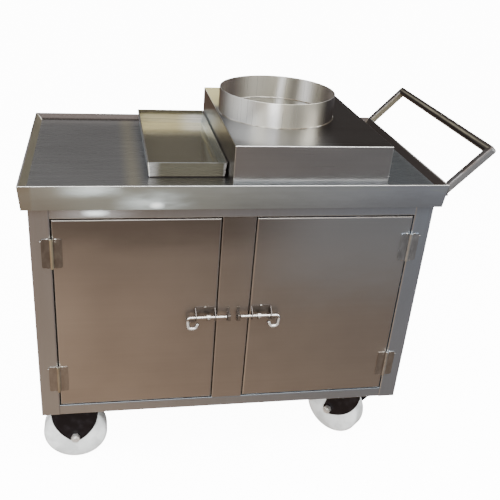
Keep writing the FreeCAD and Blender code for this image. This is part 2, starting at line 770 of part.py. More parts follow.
def bolt_keeper():
    """Hat strap on the mullion, just past the drawn rod's tip, that takes the shot rod."""
    x1 = CENTRE_X + BOLT_TIP - KEEPER_ROOM
    x0 = x1 - KEEPER_WIDTH
    half = BOLT_RADIUS + KEEPER_ROOM
    outer = half + BRACKET_SHEET
    bridge = FRONT - KEEPER_REACH
    strap = box(x0, x1, bridge, FRONT, BOLT_Z - outer, BOLT_Z + outer)
    strap = strap.makeFillet(
        SHEET_BEND, edges_along(strap, X_WAY, lambda point: point.y < bridge + SHEET)
    )
    flange = outer + KEEPER_FLANGE
    strap = strap.fuse(
        box(x0, x1, FRONT - BRACKET_SHEET, FRONT, BOLT_Z - flange, BOLT_Z + flange)
    )
    loop = box(x0, x1, bridge + BRACKET_SHEET, FRONT, BOLT_Z - half, BOLT_Z + half)
    return strap.cut(loop).removeSplitter()


# Castors, made with the swivel axis on Z, the trail along +X and the axle along Y

def leg_side(side, half, shoulder, trail, y):
    """Side of a leg from its shoulder to its nose, bowed where the leg is wider than the nose."""
    begin = Vec(side * half, y, shoulder)
    nose = Vec(trail, y, WHEEL_RADIUS)
    across = half - side * trail
    drop = shoulder - WHEEL_RADIUS
    if across <= FORK_NOSE:
        touch = tangent_point((begin.x, begin.z), (nose.x, nose.z), FORK_NOSE, -side)
        finish = Vec(touch[0], y, touch[1])
        return Part.LineSegment(begin, finish).toShape(), finish
    radius = (across ** 2 + drop ** 2 - FORK_NOSE ** 2) / (2 * (across - FORK_NOSE))
    centre = begin - X_WAY * (side * radius)
    way = (nose - centre).normalize()
    middle = centre + (way + X_WAY * side).normalize() * radius
    finish = centre + way * radius
    return Part.Arc(begin, middle, finish).toShape(), finish


def fork_leg(top_width, shoulder, top, trail, y0):
    """Pressed leg with bowed sides that meet in a round nose about the axle."""
    half = top_width / 2
    near, near_end = leg_side(-1, half, shoulder, trail, y0)
    far, far_end = leg_side(1, half, shoulder, trail, y0)
    corners = [
        Vec(-half, y0, shoulder),
        Vec(-half, y0, top),
        Vec(half, y0, top),
        Vec(half, y0, shoulder),
    ]
    edges = [near]
    for start, end in zip(corners, corners[1:]):
        edges.append(Part.LineSegment(start, end).toShape())
    edges.append(far)
    low = Vec(trail, y0, WHEEL_RADIUS - FORK_NOSE)
    edges.append(Part.Arc(far_end, low, near_end).toShape())
    return Part.Face(Part.Wire(edges)).extrude(Y_WAY * FORK_SHEET)


def fork_legs(top_width, shoulder, top, trail):
    """Both legs of a fork, bored for the axle."""
    bore = cylinder(
        AXLE_RADIUS + RUNNING_FIT, 2 * FORK_OUTER, Vec(trail, -FORK_OUTER, WHEEL_RADIUS), Y_WAY
    )
    legs = []
    for y0 in (-FORK_OUTER, FORK_INNER):
        legs.append(fork_leg(top_width, shoulder, top, trail, y0).cut(bore))
    return legs


def bolt_places():
    """Hole centres of a castor plate about its own axis."""
    half_x = CASTOR_BOLT_SPACING_X / 2
    half_y = CASTOR_BOLT_SPACING_Y / 2
    return [Vec(x, y, 0) for x in (-half_x, half_x) for y in (-half_y, half_y)]


def drilled_plate(length, width, z0, z1, corner):
    """Plate with rounded corners and four bolt holes."""
    plate = box(-length / 2, length / 2, -width / 2, width / 2, z0, z1)
    plate = plate.makeFillet(corner, edges_along(plate, Z_WAY))
    hole = CASTOR_BOLT_RADIUS + CASTOR_BOLT_ROOM
    return plate.cut([cylinder(hole, z1 - z0, place + Z_WAY * z0) for place in bolt_places()])


def castor_plate():
    """Top plate of a castor."""
    return drilled_plate(
        CASTOR_PLATE_LENGTH, CASTOR_PLATE_WIDTH, PLATE_BOTTOM, PLATE_TOP, CASTOR_PLATE_CORNER
    )


def castor_pad():
    """Plate welded under the cabinet that the castor is bolted to."""
    return drilled_plate(PAD_SIDE, PAD_SIDE, PLATE_TOP, BASE, CASTOR_PLATE_CORNER)


def castor_fasteners():
    """Four hexagon bolts and their nuts for one castor."""
    solids = []
    bore_radius = CASTOR_BOLT_RADIUS + RUNNING_FIT
    for place in bolt_places():
        foot = place + Z_WAY * (PLATE_BOTTOM - CASTOR_BOLT_HEAD)
        grip = CASTOR_BOLT_HEAD + CASTOR_SHEET + PAD_SHEET
        shank = cylinder(CASTOR_BOLT_RADIUS, grip + CASTOR_NUT_HEIGHT + CASTOR_BOLT_STUB, foot)
        solids.append(shank.fuse(hexagon(CASTOR_BOLT_FLATS, CASTOR_BOLT_HEAD, foot, Z_WAY)))
        seat = place + Z_WAY * BASE
        nut = hexagon(CASTOR_BOLT_FLATS, CASTOR_NUT_HEIGHT, seat, Z_WAY)
        solids.append(nut.cut(cylinder(bore_radius, CASTOR_NUT_HEIGHT, seat)))
    return solids


def fixed_bracket():
    """Fixed castor's plate with its two legs pressed down from it."""
    shoulder = PLATE_BOTTOM - FORK_SHOULDER_FIXED
    bracket = castor_plate().fuse(fork_legs(FORK_TOP_FIXED, shoulder, PLATE_BOTTOM, 0))
    return bracket.removeSplitter()


def swivel_plate():
    """Swivel castor's plate with the bearing housing below it, bored for the king pin."""
    race = cylinder(RACE_RADIUS, RACE_HEIGHT, Vec(0, 0, PLATE_BOTTOM - RACE_HEIGHT))
    bore = cylinder(
        KING_PIN_RADIUS + BUSH_FIT,
        RACE_HEIGHT + CASTOR_SHEET,
        Vec(0, 0, PLATE_BOTTOM - RACE_HEIGHT),
    )
    return castor_plate().fuse(race).cut(bore)


def king_pin():
    """Rivet that carries the fork under the plate."""
    head_top = CROWN_BOTTOM - RACE_GAP
    pin = cylinder(KING_PIN_RADIUS, PLATE_TOP - head_top, Vec(0, 0, head_top))
    head = cylinder(KING_PIN_HEAD_RADIUS, KING_PIN_HEAD, Vec(0, 0, head_top - KING_PIN_HEAD))
    return pin.fuse(head)


def swivel_fork():
    """Crown plate with two trailing legs, turning on the king pin."""
    half = FORK_TOP_SWIVEL / 2
    crown = box(-half, half, -FORK_OUTER, FORK_OUTER, CROWN_BOTTOM, CROWN_TOP)
    shoulder = CROWN_BOTTOM - FORK_SHOULDER_SWIVEL
    legs = fork_legs(FORK_TOP_SWIVEL, shoulder, CROWN_BOTTOM, CASTOR_TRAIL)
    fork = crown.fuse(legs).removeSplitter()
    bends = edges_along(fork, X_WAY, lambda point: point.z > CROWN_TOP - SHEET)
    fork = fork.makeFillet(FORK_BEND, bends)
    bore = cylinder(KING_PIN_RADIUS + RUNNING_FIT, CASTOR_SHEET, Vec(0, 0, CROWN_BOTTOM))
    return fork.cut(bore)


def axle(trail):
    """Bolt through the fork, with its head on one side and a nut on the other."""
    start = Vec(trail, -FORK_OUTER - AXLE_HEAD, WHEEL_RADIUS)
    length = AXLE_HEAD + 2 * FORK_OUTER + AXLE_NUT + AXLE_STUB
    bolt = cylinder(AXLE_RADIUS, length, start, Y_WAY)
    head = hexagon(AXLE_FLATS, AXLE_HEAD, start, Y_WAY)
    nut = hexagon(AXLE_FLATS, AXLE_NUT, Vec(trail, FORK_OUTER, WHEEL_RADIUS), Y_WAY)
    return bolt.fuse([head, nut]).removeSplitter()


def wheel_side(way):
    """Domed side of a wheel between its hub and its tread, as an arc in the plane of its axis."""
    inner = Vec(HUB_RADIUS, way * HUB_WIDTH / 2, 0)
    outer = Vec(WHEEL_RADIUS, way * WHEEL_WIDTH / 2, 0)
    crown = (inner + outer) / 2 + Y_WAY * (way * WHEEL_CROWN)
    return Part.Arc(inner, crown, outer).toShape()


def wheel(trail):
    """Moulded wheel: rounded tread and domed sides that rise to a hub wider than the tread."""
    bore = BUSH_RADIUS + BUSH_FIT
    hub = HUB_WIDTH / 2
    half = WHEEL_WIDTH / 2
    edges = [
        Part.LineSegment(Vec(bore, -hub, 0), Vec(bore, hub, 0)).toShape(),
        Part.LineSegment(Vec(bore, hub, 0), Vec(HUB_RADIUS, hub, 0)).toShape(),
        wheel_side(1),
        Part.LineSegment(Vec(WHEEL_RADIUS, half, 0), Vec(WHEEL_RADIUS, -half, 0)).toShape(),
        wheel_side(-1),
        Part.LineSegment(Vec(HUB_RADIUS, -hub, 0), Vec(bore, -hub, 0)).toShape(),
    ]
    form = Part.Face(Part.Wire(edges)).revolve(Vec(0, 0, 0), Y_WAY, 360)
    tread = [
        edge
        for edge in form.Edges
        if isinstance(edge.Curve, Part.Circle) and abs(edge.Curve.Radius - WHEEL_RADIUS) < PICK_SLACK
    ]
    form = form.makeFillet(WHEEL_EDGE, tread)
    form.translate(Vec(trail, 0, WHEEL_RADIUS))
    return form


def wheel_bush(trail):
    """Plain bush pressed into the hub, running on the axle."""
    foot = Vec(trail, -HUB_WIDTH / 2, WHEEL_RADIUS)
    bush = cylinder(BUSH_RADIUS, HUB_WIDTH, foot, Y_WAY)
    return bush.cut(cylinder(AXLE_RADIUS + RUNNING_FIT, HUB_WIDTH, foot, Y_WAY))


def placed(shape, turn, place):
    """Copy of a castor piece turned about its own axis and moved under the cabinet."""
    copy = shape.copy()
    copy.rotate(Vec(0, 0, 0), Z_WAY, turn)
    copy.translate(place)
    return copy


def castors():
    """Fixed castors under the left end and swivel castors under the handle end."""
    pads = []
    fasteners = []
    rows = (
        ("front", FRONT + CASTOR_INSET_Y, FRONT_SWIVEL_ANGLE),
        ("back", BACK - CASTOR_INSET_Y, BACK_SWIVEL_ANGLE),
    )
    for depth_name, y, swivel_angle in rows:
        fixed = Vec(LEFT + CASTOR_INSET_X, y, 0)
        swivel = Vec(RIGHT - CASTOR_INSET_X, y, 0)
        for place in (fixed, swivel):
            pads.append(placed(castor_pad(), 0, place))
            fasteners += [placed(solid, 0, place) for solid in castor_fasteners()]
        name = depth_name + "_fixed_"
        export(name + "bracket", placed(fixed_bracket(), FIXED_ANGLE, fixed))
        export(name + "axle", placed(axle(0), FIXED_ANGLE, fixed))
        export(name + "wheel", placed(wheel(0), FIXED_ANGLE, fixed))
        export(name + "bush", placed(wheel_bush(0), FIXED_ANGLE, fixed))
        name = depth_name + "_swivel_"
        export(name + "plate", placed(swivel_plate(), 0, swivel))
        export(name + "king_pin", placed(king_pin(), 0, swivel))
        export(name + "fork", placed(swivel_fork(), swivel_angle, swivel))
        export(name + "axle", placed(axle(CASTOR_TRAIL), swivel_angle, swivel))
        export(name + "wheel", placed(wheel(CASTOR_TRAIL), swivel_angle, swivel))
        export(name + "bush", placed(wheel_bush(CASTOR_TRAIL), swivel_angle, swivel))
    export("castor_pads", *pads)
    export("castor_bolts", *fasteners)


def build():
    """Write every piece of the trolley."""
    os.makedirs("parts", exist_ok=True)
    export("worktop", worktop())
    export("worktop_stiffeners", *worktop_stiffeners())
    for name, post in posts().items():
        export(name, post)
    export("front_top_rail", cross_rail(FRONT, OPENING_TOP, DECK_UNDER))
    export("front_bottom_rail", cross_rail(FRONT, BASE, OPENING_BOTTOM))
    back_face = BACK - RAIL_DEPTH
    export(
        "back_rails",
        cross_rail(back_face, OPENING_TOP, DECK_UNDER),
        cross_rail(back_face, BASE, OPENING_BOTTOM),
    )
    side_face = RIGHT - RAIL_DEPTH
    export_pair(
        "side_rails",
        side_rail(side_face, OPENING_TOP, DECK_UNDER),
        side_rail(side_face, BASE, OPENING_BOTTOM),
    )
    export("mullion", mullion())
    export_pair("side_panel", side_panel())
    export("back_panel", back_panel())
    export("bottom_shelf", bottom_shelf())
    export("pot_box", pot_box())
    export("pot_well", pot_well())
    export("lift_out_tray", lift_out_tray())
    front_arm, back_arm, crossbar = handle()
    export("handle_front_arm", front_arm)
    export("handle_back_arm", back_arm)
    export("handle_crossbar", crossbar)
    export_pair("door", door())
    export_pair("hinge_post_leaves", *[hinge_leaf(z, 1, 0) for z in hinge_centres()])
    export_pair("hinge_door_leaves", *[hinge_leaf(z, -1, 1) for z in hinge_centres()])
    export_pair("hinge_pins", *[hinge_pin(z) for z in hinge_centres()])
    export_pair("bolt_bracket", bolt_bracket())
    export_pair("bolt_rod", bolt_rod())
    export_pair("bolt_collar", bolt_collar())
    export_pair("bolt_keeper", bolt_keeper())
    castors()


build()
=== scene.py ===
import json
import math

import bpy
from bpy.props import FloatProperty, FloatVectorProperty, PointerProperty
from mathutils import Euler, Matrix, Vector


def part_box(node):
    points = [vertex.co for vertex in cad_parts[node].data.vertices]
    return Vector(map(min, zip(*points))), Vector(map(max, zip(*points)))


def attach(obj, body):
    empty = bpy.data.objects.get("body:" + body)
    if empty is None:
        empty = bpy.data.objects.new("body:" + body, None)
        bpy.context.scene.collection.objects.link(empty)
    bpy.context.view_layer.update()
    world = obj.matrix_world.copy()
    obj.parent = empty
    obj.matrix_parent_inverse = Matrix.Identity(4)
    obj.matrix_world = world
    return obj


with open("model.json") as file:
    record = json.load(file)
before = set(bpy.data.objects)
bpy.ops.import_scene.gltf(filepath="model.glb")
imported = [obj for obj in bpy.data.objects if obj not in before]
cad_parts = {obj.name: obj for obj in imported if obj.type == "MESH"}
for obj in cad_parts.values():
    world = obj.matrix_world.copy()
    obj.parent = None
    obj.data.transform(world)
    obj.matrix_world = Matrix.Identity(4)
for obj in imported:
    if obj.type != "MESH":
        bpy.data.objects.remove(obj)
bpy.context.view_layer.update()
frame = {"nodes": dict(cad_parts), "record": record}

bl_info = {
    "name": "Serving Trolley",
    "version": (1, 0, 0),
    "blender": (4, 5, 0),
    "location": "3D View > Sidebar > Trolley",
    "description": "Finishes, welds, small fasteners and studio for a stainless serving trolley",
    "category": "Object",
}

SIDES = ("left", "right")
MILLIMETRE = 0.001

# Sizes of carried-over pieces that their boxes don't show, in metres
WELL_WALL = 0.002
HINGE_HEIGHT = 0.066
RIM_FOOT_INSET = 0.016
RIM_CREST_INSET = 0.003

# Facets and proportions of the new pieces
BEAD_SIDES = 10
RING_STEPS = 240
RING_FLATTEN = (1.0, 1.0, 0.8)
TACK_STEPS = 14
TACK_RINGS = 8
TACK_FLATTEN = (1.0, 0.45, 0.5)
SCREW_SIDES = 24
SOCKET_WALL = 0.45
SOCKET_DEPTH = 0.6

# Studio, in metres, and the camera's sensor in millimetres
FLOOR_SIZE = 60.0
FLOOR_DROP = 0.0004
BACKDROP_SIDES = 96
BACKDROP_RADIUS = 29.0
BACKDROP_FOOT = -0.5
BACKDROP_HEIGHT = 40.0
LIGHT_AIM = Vector((0, 0, 0.5))
LIGHT_LIMIT = 4.0
SENSOR_WIDTH = 36.0
VIEW_REACH = 200.0

# Brush marks and streaks, in cells to a metre along each axis
LENGTHWAYS = (5.0, 700.0, 700.0)
CROSSWAYS = (700.0, 5.0, 700.0)
UPRIGHT = (700.0, 700.0, 5.0)
LENGTHWAYS_STREAK = (1.2, 110.0, 110.0)
UPRIGHT_STREAK = (110.0, 110.0, 1.2)

# Colours that stay as they are
WHITE = (1.0, 1.0, 1.0)
# Colours of the painted highlights on the rail and the apron.
RAIL_GLEAM = (0.90, 0.97, 1.0)
APRON_GLEAM = (0.96, 0.97, 0.94)
ZINC = (0.78, 0.78, 0.76)
BLACK_PAINT = (0.004, 0.003, 0.004)
RUBBED_PAINT = (0.016, 0.014, 0.016)
BUSH_GREY = (0.08, 0.08, 0.08)
BRIGHT_WELD = (0.70, 0.69, 0.65)
BURNT_WELD = (0.22, 0.19, 0.15)
FLOOR_GREY = (0.90, 0.90, 0.90)


def length(name, description, default):
    """A length that a user may change."""
    return FloatProperty(
        name=name, description=description, default=default, subtype="DISTANCE", unit="LENGTH"
    )


def colour(name, description, default, highest=1.0):
    """A colour that a user may change, where light may go past one."""
    return FloatVectorProperty(
        name=name,
        description=description,
        default=default,
        subtype="COLOR",
        size=3,
        min=0.0,
        max=highest,
    )


class TrolleySizes(bpy.types.PropertyGroup):
    """Sizes of the welds and small fasteners."""

    well_bead: length("Well bead", "Radius of the weld bead round the pot well", 0.0016)
    handle_bead: length("Handle bead", "Radius of the weld beads at the root of each handle arm", 0.003)
    rim_bead: length("Rim bead", "Radius of the dressed weld in each corner of the worktop's rim", 0.0012)
    tack: length("Tack", "Length of the weld tacks on hinges, bolt brackets and keepers", 0.0055)
    grub_screw: length("Grub screw", "Radius of the screw in each bolt collar", 0.0018)


class TrolleyFinishes(bpy.types.PropertyGroup):
    """Main tones of the trolley's surfaces."""

    sheet: colour("Sheet", "Warm satin sheet of the doors and panels", (0.58, 0.54, 0.50))
    cool: colour("Cool sheet", "Greyer sheet of the frame, box and handle", (0.60, 0.67, 0.74))
    apron: colour("Apron", "Silvery apron of the worktop", (0.56, 0.69, 0.73))
    cold: colour("Cold sheet", "Bluish sheet towards the handle end", (0.57, 0.68, 0.82))
    shaded: colour("Shaded sheet", "Smeared and shaded parts of the sheet", (0.10, 0.085, 0.08))
    # The bright tone is also the colour of the painted highlights on folds, crests and hems.
    bright: colour("Well and tray", "Bright rolled and folded sheet", (0.88, 0.88, 0.86))
    straw: colour("Straw", "Yellowish cast on the tray and along folds", (0.74, 0.69, 0.52))
    # Painted yellow reflection, used on the box top's corner and the tray's back wall.
    yellow_reflection: colour("Yellow reflection", "Painted yellow reflection on the corner of the box top", (0.60, 0.54, 0.28))
    bolt: colour("Bolts", "Polished rod of the door bolts", (0.92, 0.91, 0.88))
    wheel: colour("Wheels", "White moulded wheels", (0.86, 0.90, 0.91))


class TrolleyStage(bpy.types.PropertyGroup):
    """Camera and studio light."""

    camera_place: FloatVectorProperty(
        name="Camera place",
        description="Where the camera stands",
        default=(-0.32942, -1.54010, 1.29685),
        subtype="XYZ",
        unit="LENGTH",
        size=3,
    )
    camera_turn: FloatVectorProperty(
        name="Camera turn",
        description="How the camera is turned",
        default=(math.radians(62.9356), math.radians(-3.5174), math.radians(-9.2333)),
        subtype="EULER",
        unit="ROTATION",
        size=3,
    )
    lens: FloatProperty(
        name="Lens",
        description="Focal length in millimetres on a 36 mm sensor",
        default=50.0,
        unit="CAMERA",
    )
    shift_x: FloatProperty(name="Shift X", description="Sideways shift of the frame", default=0.0512)
    shift_y: FloatProperty(name="Shift Y", description="Upward shift of the frame", default=0.0017)
    sky: FloatProperty(name="Sky", description="Strength of the light from all round", default=1.0)
    floor_glow: FloatProperty(
        name="Floor glow",
        description="Brightness that the white floor keeps in the shade",
        default=12.0,
    )
    key: FloatProperty(
        name="Key light", description="Power of the main soft light", default=45.0, unit="POWER"
    )
    near_left: colour(
        "Near ground, left",
        "Ground close by that the left door reflects",
        (0.62, 0.45, 0.325),
        LIGHT_LIMIT,
    )
    far_left: colour("Far ground, left", "Ground far off to the left", (0.24, 0.165, 0.12), LIGHT_LIMIT)
    near_right: colour(
        "Near ground, right",
        "Ground close by that the right door reflects",
        (0.28, 0.205, 0.15),
        LIGHT_LIMIT,
    )
    far_right: colour("Far ground, right", "Ground far off to the right", (0.15, 0.15, 0.16), LIGHT_LIMIT)
    walls: colour("Walls", "Light level with the trolley", (0.5, 0.47, 0.44), LIGHT_LIMIT)
    ceiling: colour("Ceiling", "Light from overhead", (1.7, 1.68, 1.62), LIGHT_LIMIT)
    recess: colour("Recess", "Dark side of the room behind the trolley", (0.09, 0.082, 0.08), LIGHT_LIMIT)


class Tone:
    """A value that varies over a surface and takes part in Python sums."""

    def __init__(self, graph, socket):
        self.graph = graph
        self.socket = socket

    def sum(self, operation, first, second):
        """Math node on two values."""
        return self.graph.node("ShaderNodeMath", {"operation": operation}, {0: first, 1: second})

    def __add__(self, other):
        return self.sum("ADD", self, other)

    def __radd__(self, other):
        return self.sum("ADD", other, self)

    def __sub__(self, other):
        return self.sum("SUBTRACT", self, other)

    def __rsub__(self, other):
        return self.sum("SUBTRACT", other, self)

    def __mul__(self, other):
        return self.sum("MULTIPLY", self, other)

    def __rmul__(self, other):
        return self.sum("MULTIPLY", other, self)


class Graph:
    """A shader's node tree with the few moves that all of them share."""

    def __init__(self, tree):
        self.tree = tree

    def node(self, kind, settings=None, inputs=None, output=0):
        """Add a node: its settings first, then the values or links of its sockets."""
        made = self.tree.nodes.new(kind)
        for name, value in (settings or {}).items():
            setattr(made, name, value)
        self.join(made, inputs or {})
        return Tone(self, made.outputs[output])

    def join(self, node, values):
        """Link tones to a node's sockets, and set the plain values on them."""
        for name, value in values.items():
            if isinstance(value, Tone):
                self.tree.links.new(value.socket, node.inputs[name])
            else:
                node.inputs[name].default_value = value

    def split(self, vector):
        """The three parts of a vector."""
        return [self.node("ShaderNodeSeparateXYZ", None, {0: vector}, part) for part in "XYZ"]

    def size(self, value):
        """A value without its sign."""
        return self.node("ShaderNodeMath", {"operation": "ABSOLUTE"}, {0: value})

    def larger(self, first, second):
        """The larger of two values."""
        return self.node("ShaderNodeMath", {"operation": "MAXIMUM"}, {0: first, 1: second})

    def ramp(self, value, low, high, start=0.0, end=1.0):
        """Smooth step of a value from start to end between two limits."""
        settings = {"interpolation_type": "SMOOTHSTEP"}
        inputs = {"Value": value, "From Min": low, "From Max": high, "To Min": start, "To Max": end}
        return self.node("ShaderNodeMapRange", settings, inputs)

    def band(self, value, middle, width):
        """One at the middle, falling smoothly to nought at a distance."""
        return self.ramp(self.size(value - middle), 0.0, width, 1.0, 0.0)

    def mix(self, share, first, second):
        """Colour between two colours."""
        inputs = {0: share, 6: opaque(first), 7: opaque(second)}
        return self.node("ShaderNodeMix", {"data_type": "RGBA"}, inputs, 2)

    def shade(self, tone, amount):
        """Colour made lighter or darker by a factor."""
        grey = self.node("ShaderNodeCombineColor", None, {0: amount, 1: amount, 2: amount})
        settings = {"data_type": "RGBA", "blend_type": "MULTIPLY"}
        return self.node("ShaderNodeMix", settings, {0: 1.0, 6: opaque(tone), 7: grey}, 2)


class Finish(Graph):
    """One material, with the piece's own coordinates and facing ready to use."""

    def __init__(self, name):
        self.material = bpy.data.materials.new(name)
        self.material.use_nodes = True
        super().__init__(self.material.node_tree)
        self.shader = self.tree.nodes["Principled BSDF"]
        self.place = self.node("ShaderNodeTexCoord", output="Object")
        self.x, self.y, self.z = self.split(self.place)
        self.side, self.front, self.up = self.split(self.node("ShaderNodeTexCoord", output="Normal"))

    def noise(self, stretch, detail=2.0, roughness=0.5, seed=0.0):
        """Soft noise with so many cells to a metre along each axis."""
        inputs = {"Vector": self.place, "Scale": stretch, "Location": (seed,) * 3}
        place = self.node("ShaderNodeMapping", None, inputs)
        inputs = {"Vector": place, "Scale": 1.0, "Detail": detail, "Roughness": roughness}
        return self.node("ShaderNodeTexNoise", None, inputs)

    def brushed(self, stretch):
        """Fine brush marks."""
        return self.noise(stretch, 2.0, 0.6)

    def spot(self, x, z, width, height):
        """One at a place on the front, falling smoothly to nought round it."""
        return self.band(self.x, x, width) * self.band(self.z, z, height)

    def from_axis(self, x=None, y=None, z=None):
        """Distance from a line along the one axis that isn't given."""
        own = (self.x, self.y, self.z)
        ends = [mine if given is None else given for mine, given in zip(own, (x, y, z))]
        line = self.node("ShaderNodeCombineXYZ", None, dict(enumerate(ends)))
        settings = {"operation": "DISTANCE"}
        return self.node("ShaderNodeVectorMath", settings, {0: self.place, 1: line}, "Value")

    def fold(self):
        """One on the rounded folds of a sheet, nought on its flats."""
        squarest = self.larger(self.size(self.front), self.size(self.up))
        squarest = self.larger(self.size(self.side), squarest)
        return self.ramp(squarest, 0.90, 0.985, 1.0, 0.0)

    def finish(self, tone, roughness, metallic=1.0, grain=None, strength=0.1, distance=0.0002):
        """Join the tones to the shader and return the material."""
        inputs = {"Base Color": opaque(tone), "Roughness": roughness, "Metallic": metallic}
        self.join(self.shader, inputs)
        if grain is not None:
            inputs = {"Strength": strength, "Distance": distance, "Height": grain}
            self.join(self.shader, {"Normal": self.node("ShaderNodeBump", None, inputs)})
        return self.material


def opaque(tone):
    """Colour with full alpha, or a tone as it is."""
    if isinstance(tone, Tone):
        return tone
    return (tone[0], tone[1], tone[2], 1.0)


def scaled(tone, factor):
    """Plain colour made lighter or darker."""
    return tuple(part * factor for part in tone)


def door_finish(tones):
    """Satin doors and mullion: cloudy, with painted shade towards the top and a painted shadow under the
    rail, a painted glow by the left door's hinge edge, a painted cool reflection at the top right and
    painted highlights on the folds.
    """
    made = Finish("door_stainless")
    low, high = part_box("left_door")
    cloud = made.noise((3.0, 3.0, 4.0), 2.0, 0.45)
    blotch = made.noise((11.0, 11.0, 13.0), 2.0, 0.5, 6.0)
    streak = made.noise(LENGTHWAYS_STREAK, 3.0, 0.6)
    # Painted shade: the doors grow darker towards the top.
    rise = made.ramp(made.z, low.z, high.z, 1.0, 0.84)
    # Painted glow near the left door's hinge edge at mid height.
    hinge_side = made.ramp(made.x, low.x + 0.13, low.x + 0.01)
    glow = hinge_side * made.band(made.z, (low.z + high.z) / 2, 0.25)
    mottle_and_painted_shading = 0.72 + cloud * 0.36 + blotch * 0.14 + streak * 0.08 + glow * 0.22
    tone = made.shade(tones.sheet, rise * mottle_and_painted_shading)
    # Painted shadow under the rail, its edge made ragged by noise.
    smear = made.noise((7.0, 7.0, 16.0), 3.0, 0.6, 5.0)
    shadow_under_rail = made.ramp(made.z + smear * 0.06, high.z - 0.07, high.z + 0.02)
    tone = made.mix(shadow_under_rail * 0.50, tone, tones.shaded)
    # Painted cool reflection at the top right.
    to_right = made.ramp(made.x, high.x, high.x + 0.25)
    reflection_top_right = to_right * made.ramp(made.z + smear * 0.1, low.z + 0.225, high.z + 0.005)
    tone = made.mix(reflection_top_right * 0.8, tone, tones.cool)
    # Painted highlight on the folds, and painted shade on the folds that face up.
    fold = made.fold()
    upper_fold_shade = fold * made.ramp(made.up, 0.15, 0.4)
    tone = made.mix(fold * 0.7, tone, tones.bright)
    tone = made.mix(upper_fold_shade, tone, scaled(tones.sheet, 0.42))
    grain = made.brushed(LENGTHWAYS)
    return made.finish(tone, 0.32 + grain * 0.10 - fold * 0.06, 1.0, grain, 0.06)


def frame_finish(tones):
    """Brushed tube and sheet of the cabinet, bluer towards the handle, with painted highlights on the
    folds, painted shade on the folds that face up, a painted shadow under the worktop and one painted
    gleam on the rail.
    """
    made = Finish("frame_stainless")
    low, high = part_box("worktop")
    rail_low, rail_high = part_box("front_top_rail")
    cloud = made.noise((3.0, 3.0, 3.0), 2.0, 0.5, 4.0)
    streak = made.noise(UPRIGHT_STREAK, 3.0, 0.6)
    along = made.ramp(made.x, low.x, high.x)
    tone = made.mix(0.35 + cloud * 0.3, tones.sheet, tones.cool)
    tone = made.mix(along * made.ramp(made.side, 0.9, 0.3, 0.3, 0.8), tone, tones.cold)
    tone = made.shade(tone, 0.78 + cloud * 0.22 + streak * 0.10)
    # Painted highlight on the folds, and painted shade on the folds that face up.
    fold = made.fold()
    upper_fold_shade = fold * made.ramp(made.up, 0.15, 0.4)
    tone = made.mix(fold * 0.6, tone, tones.bright)
    tone = made.mix(upper_fold_shade, tone, scaled(tones.cool, 0.30))
    on_rail = made.ramp(made.z, rail_low.z - 0.001, rail_low.z)
    # One painted gleam on the rail: a bright core in a faint halo, on the rail's front only.
    gleam_x = low.x + 0.15
    gleam_z = rail_low.z + 0.013
    core = made.spot(gleam_x, gleam_z, 0.042, 0.012)
    halo = made.spot(gleam_x, gleam_z, 0.11, 0.022)
    in_front = made.ramp(made.y, rail_high.y + 0.01, rail_high.y)
    gleam = made.larger(core, halo * 0.18) * on_rail * in_front
    tone = made.mix(gleam, tone, RAIL_GLEAM)
    # Painted shadow along the top of the rail, just under the worktop.
    shadow_under_top = on_rail * made.ramp(made.z, low.z - 0.006, low.z)
    tone = made.mix(shadow_under_top * 0.75, tone, tones.shaded)
    grain = made.brushed(UPRIGHT)
    return made.finish(tone, 0.32 + grain * 0.12 - fold * 0.08, 1.0 - gleam * 0.95, grain, 0.06)


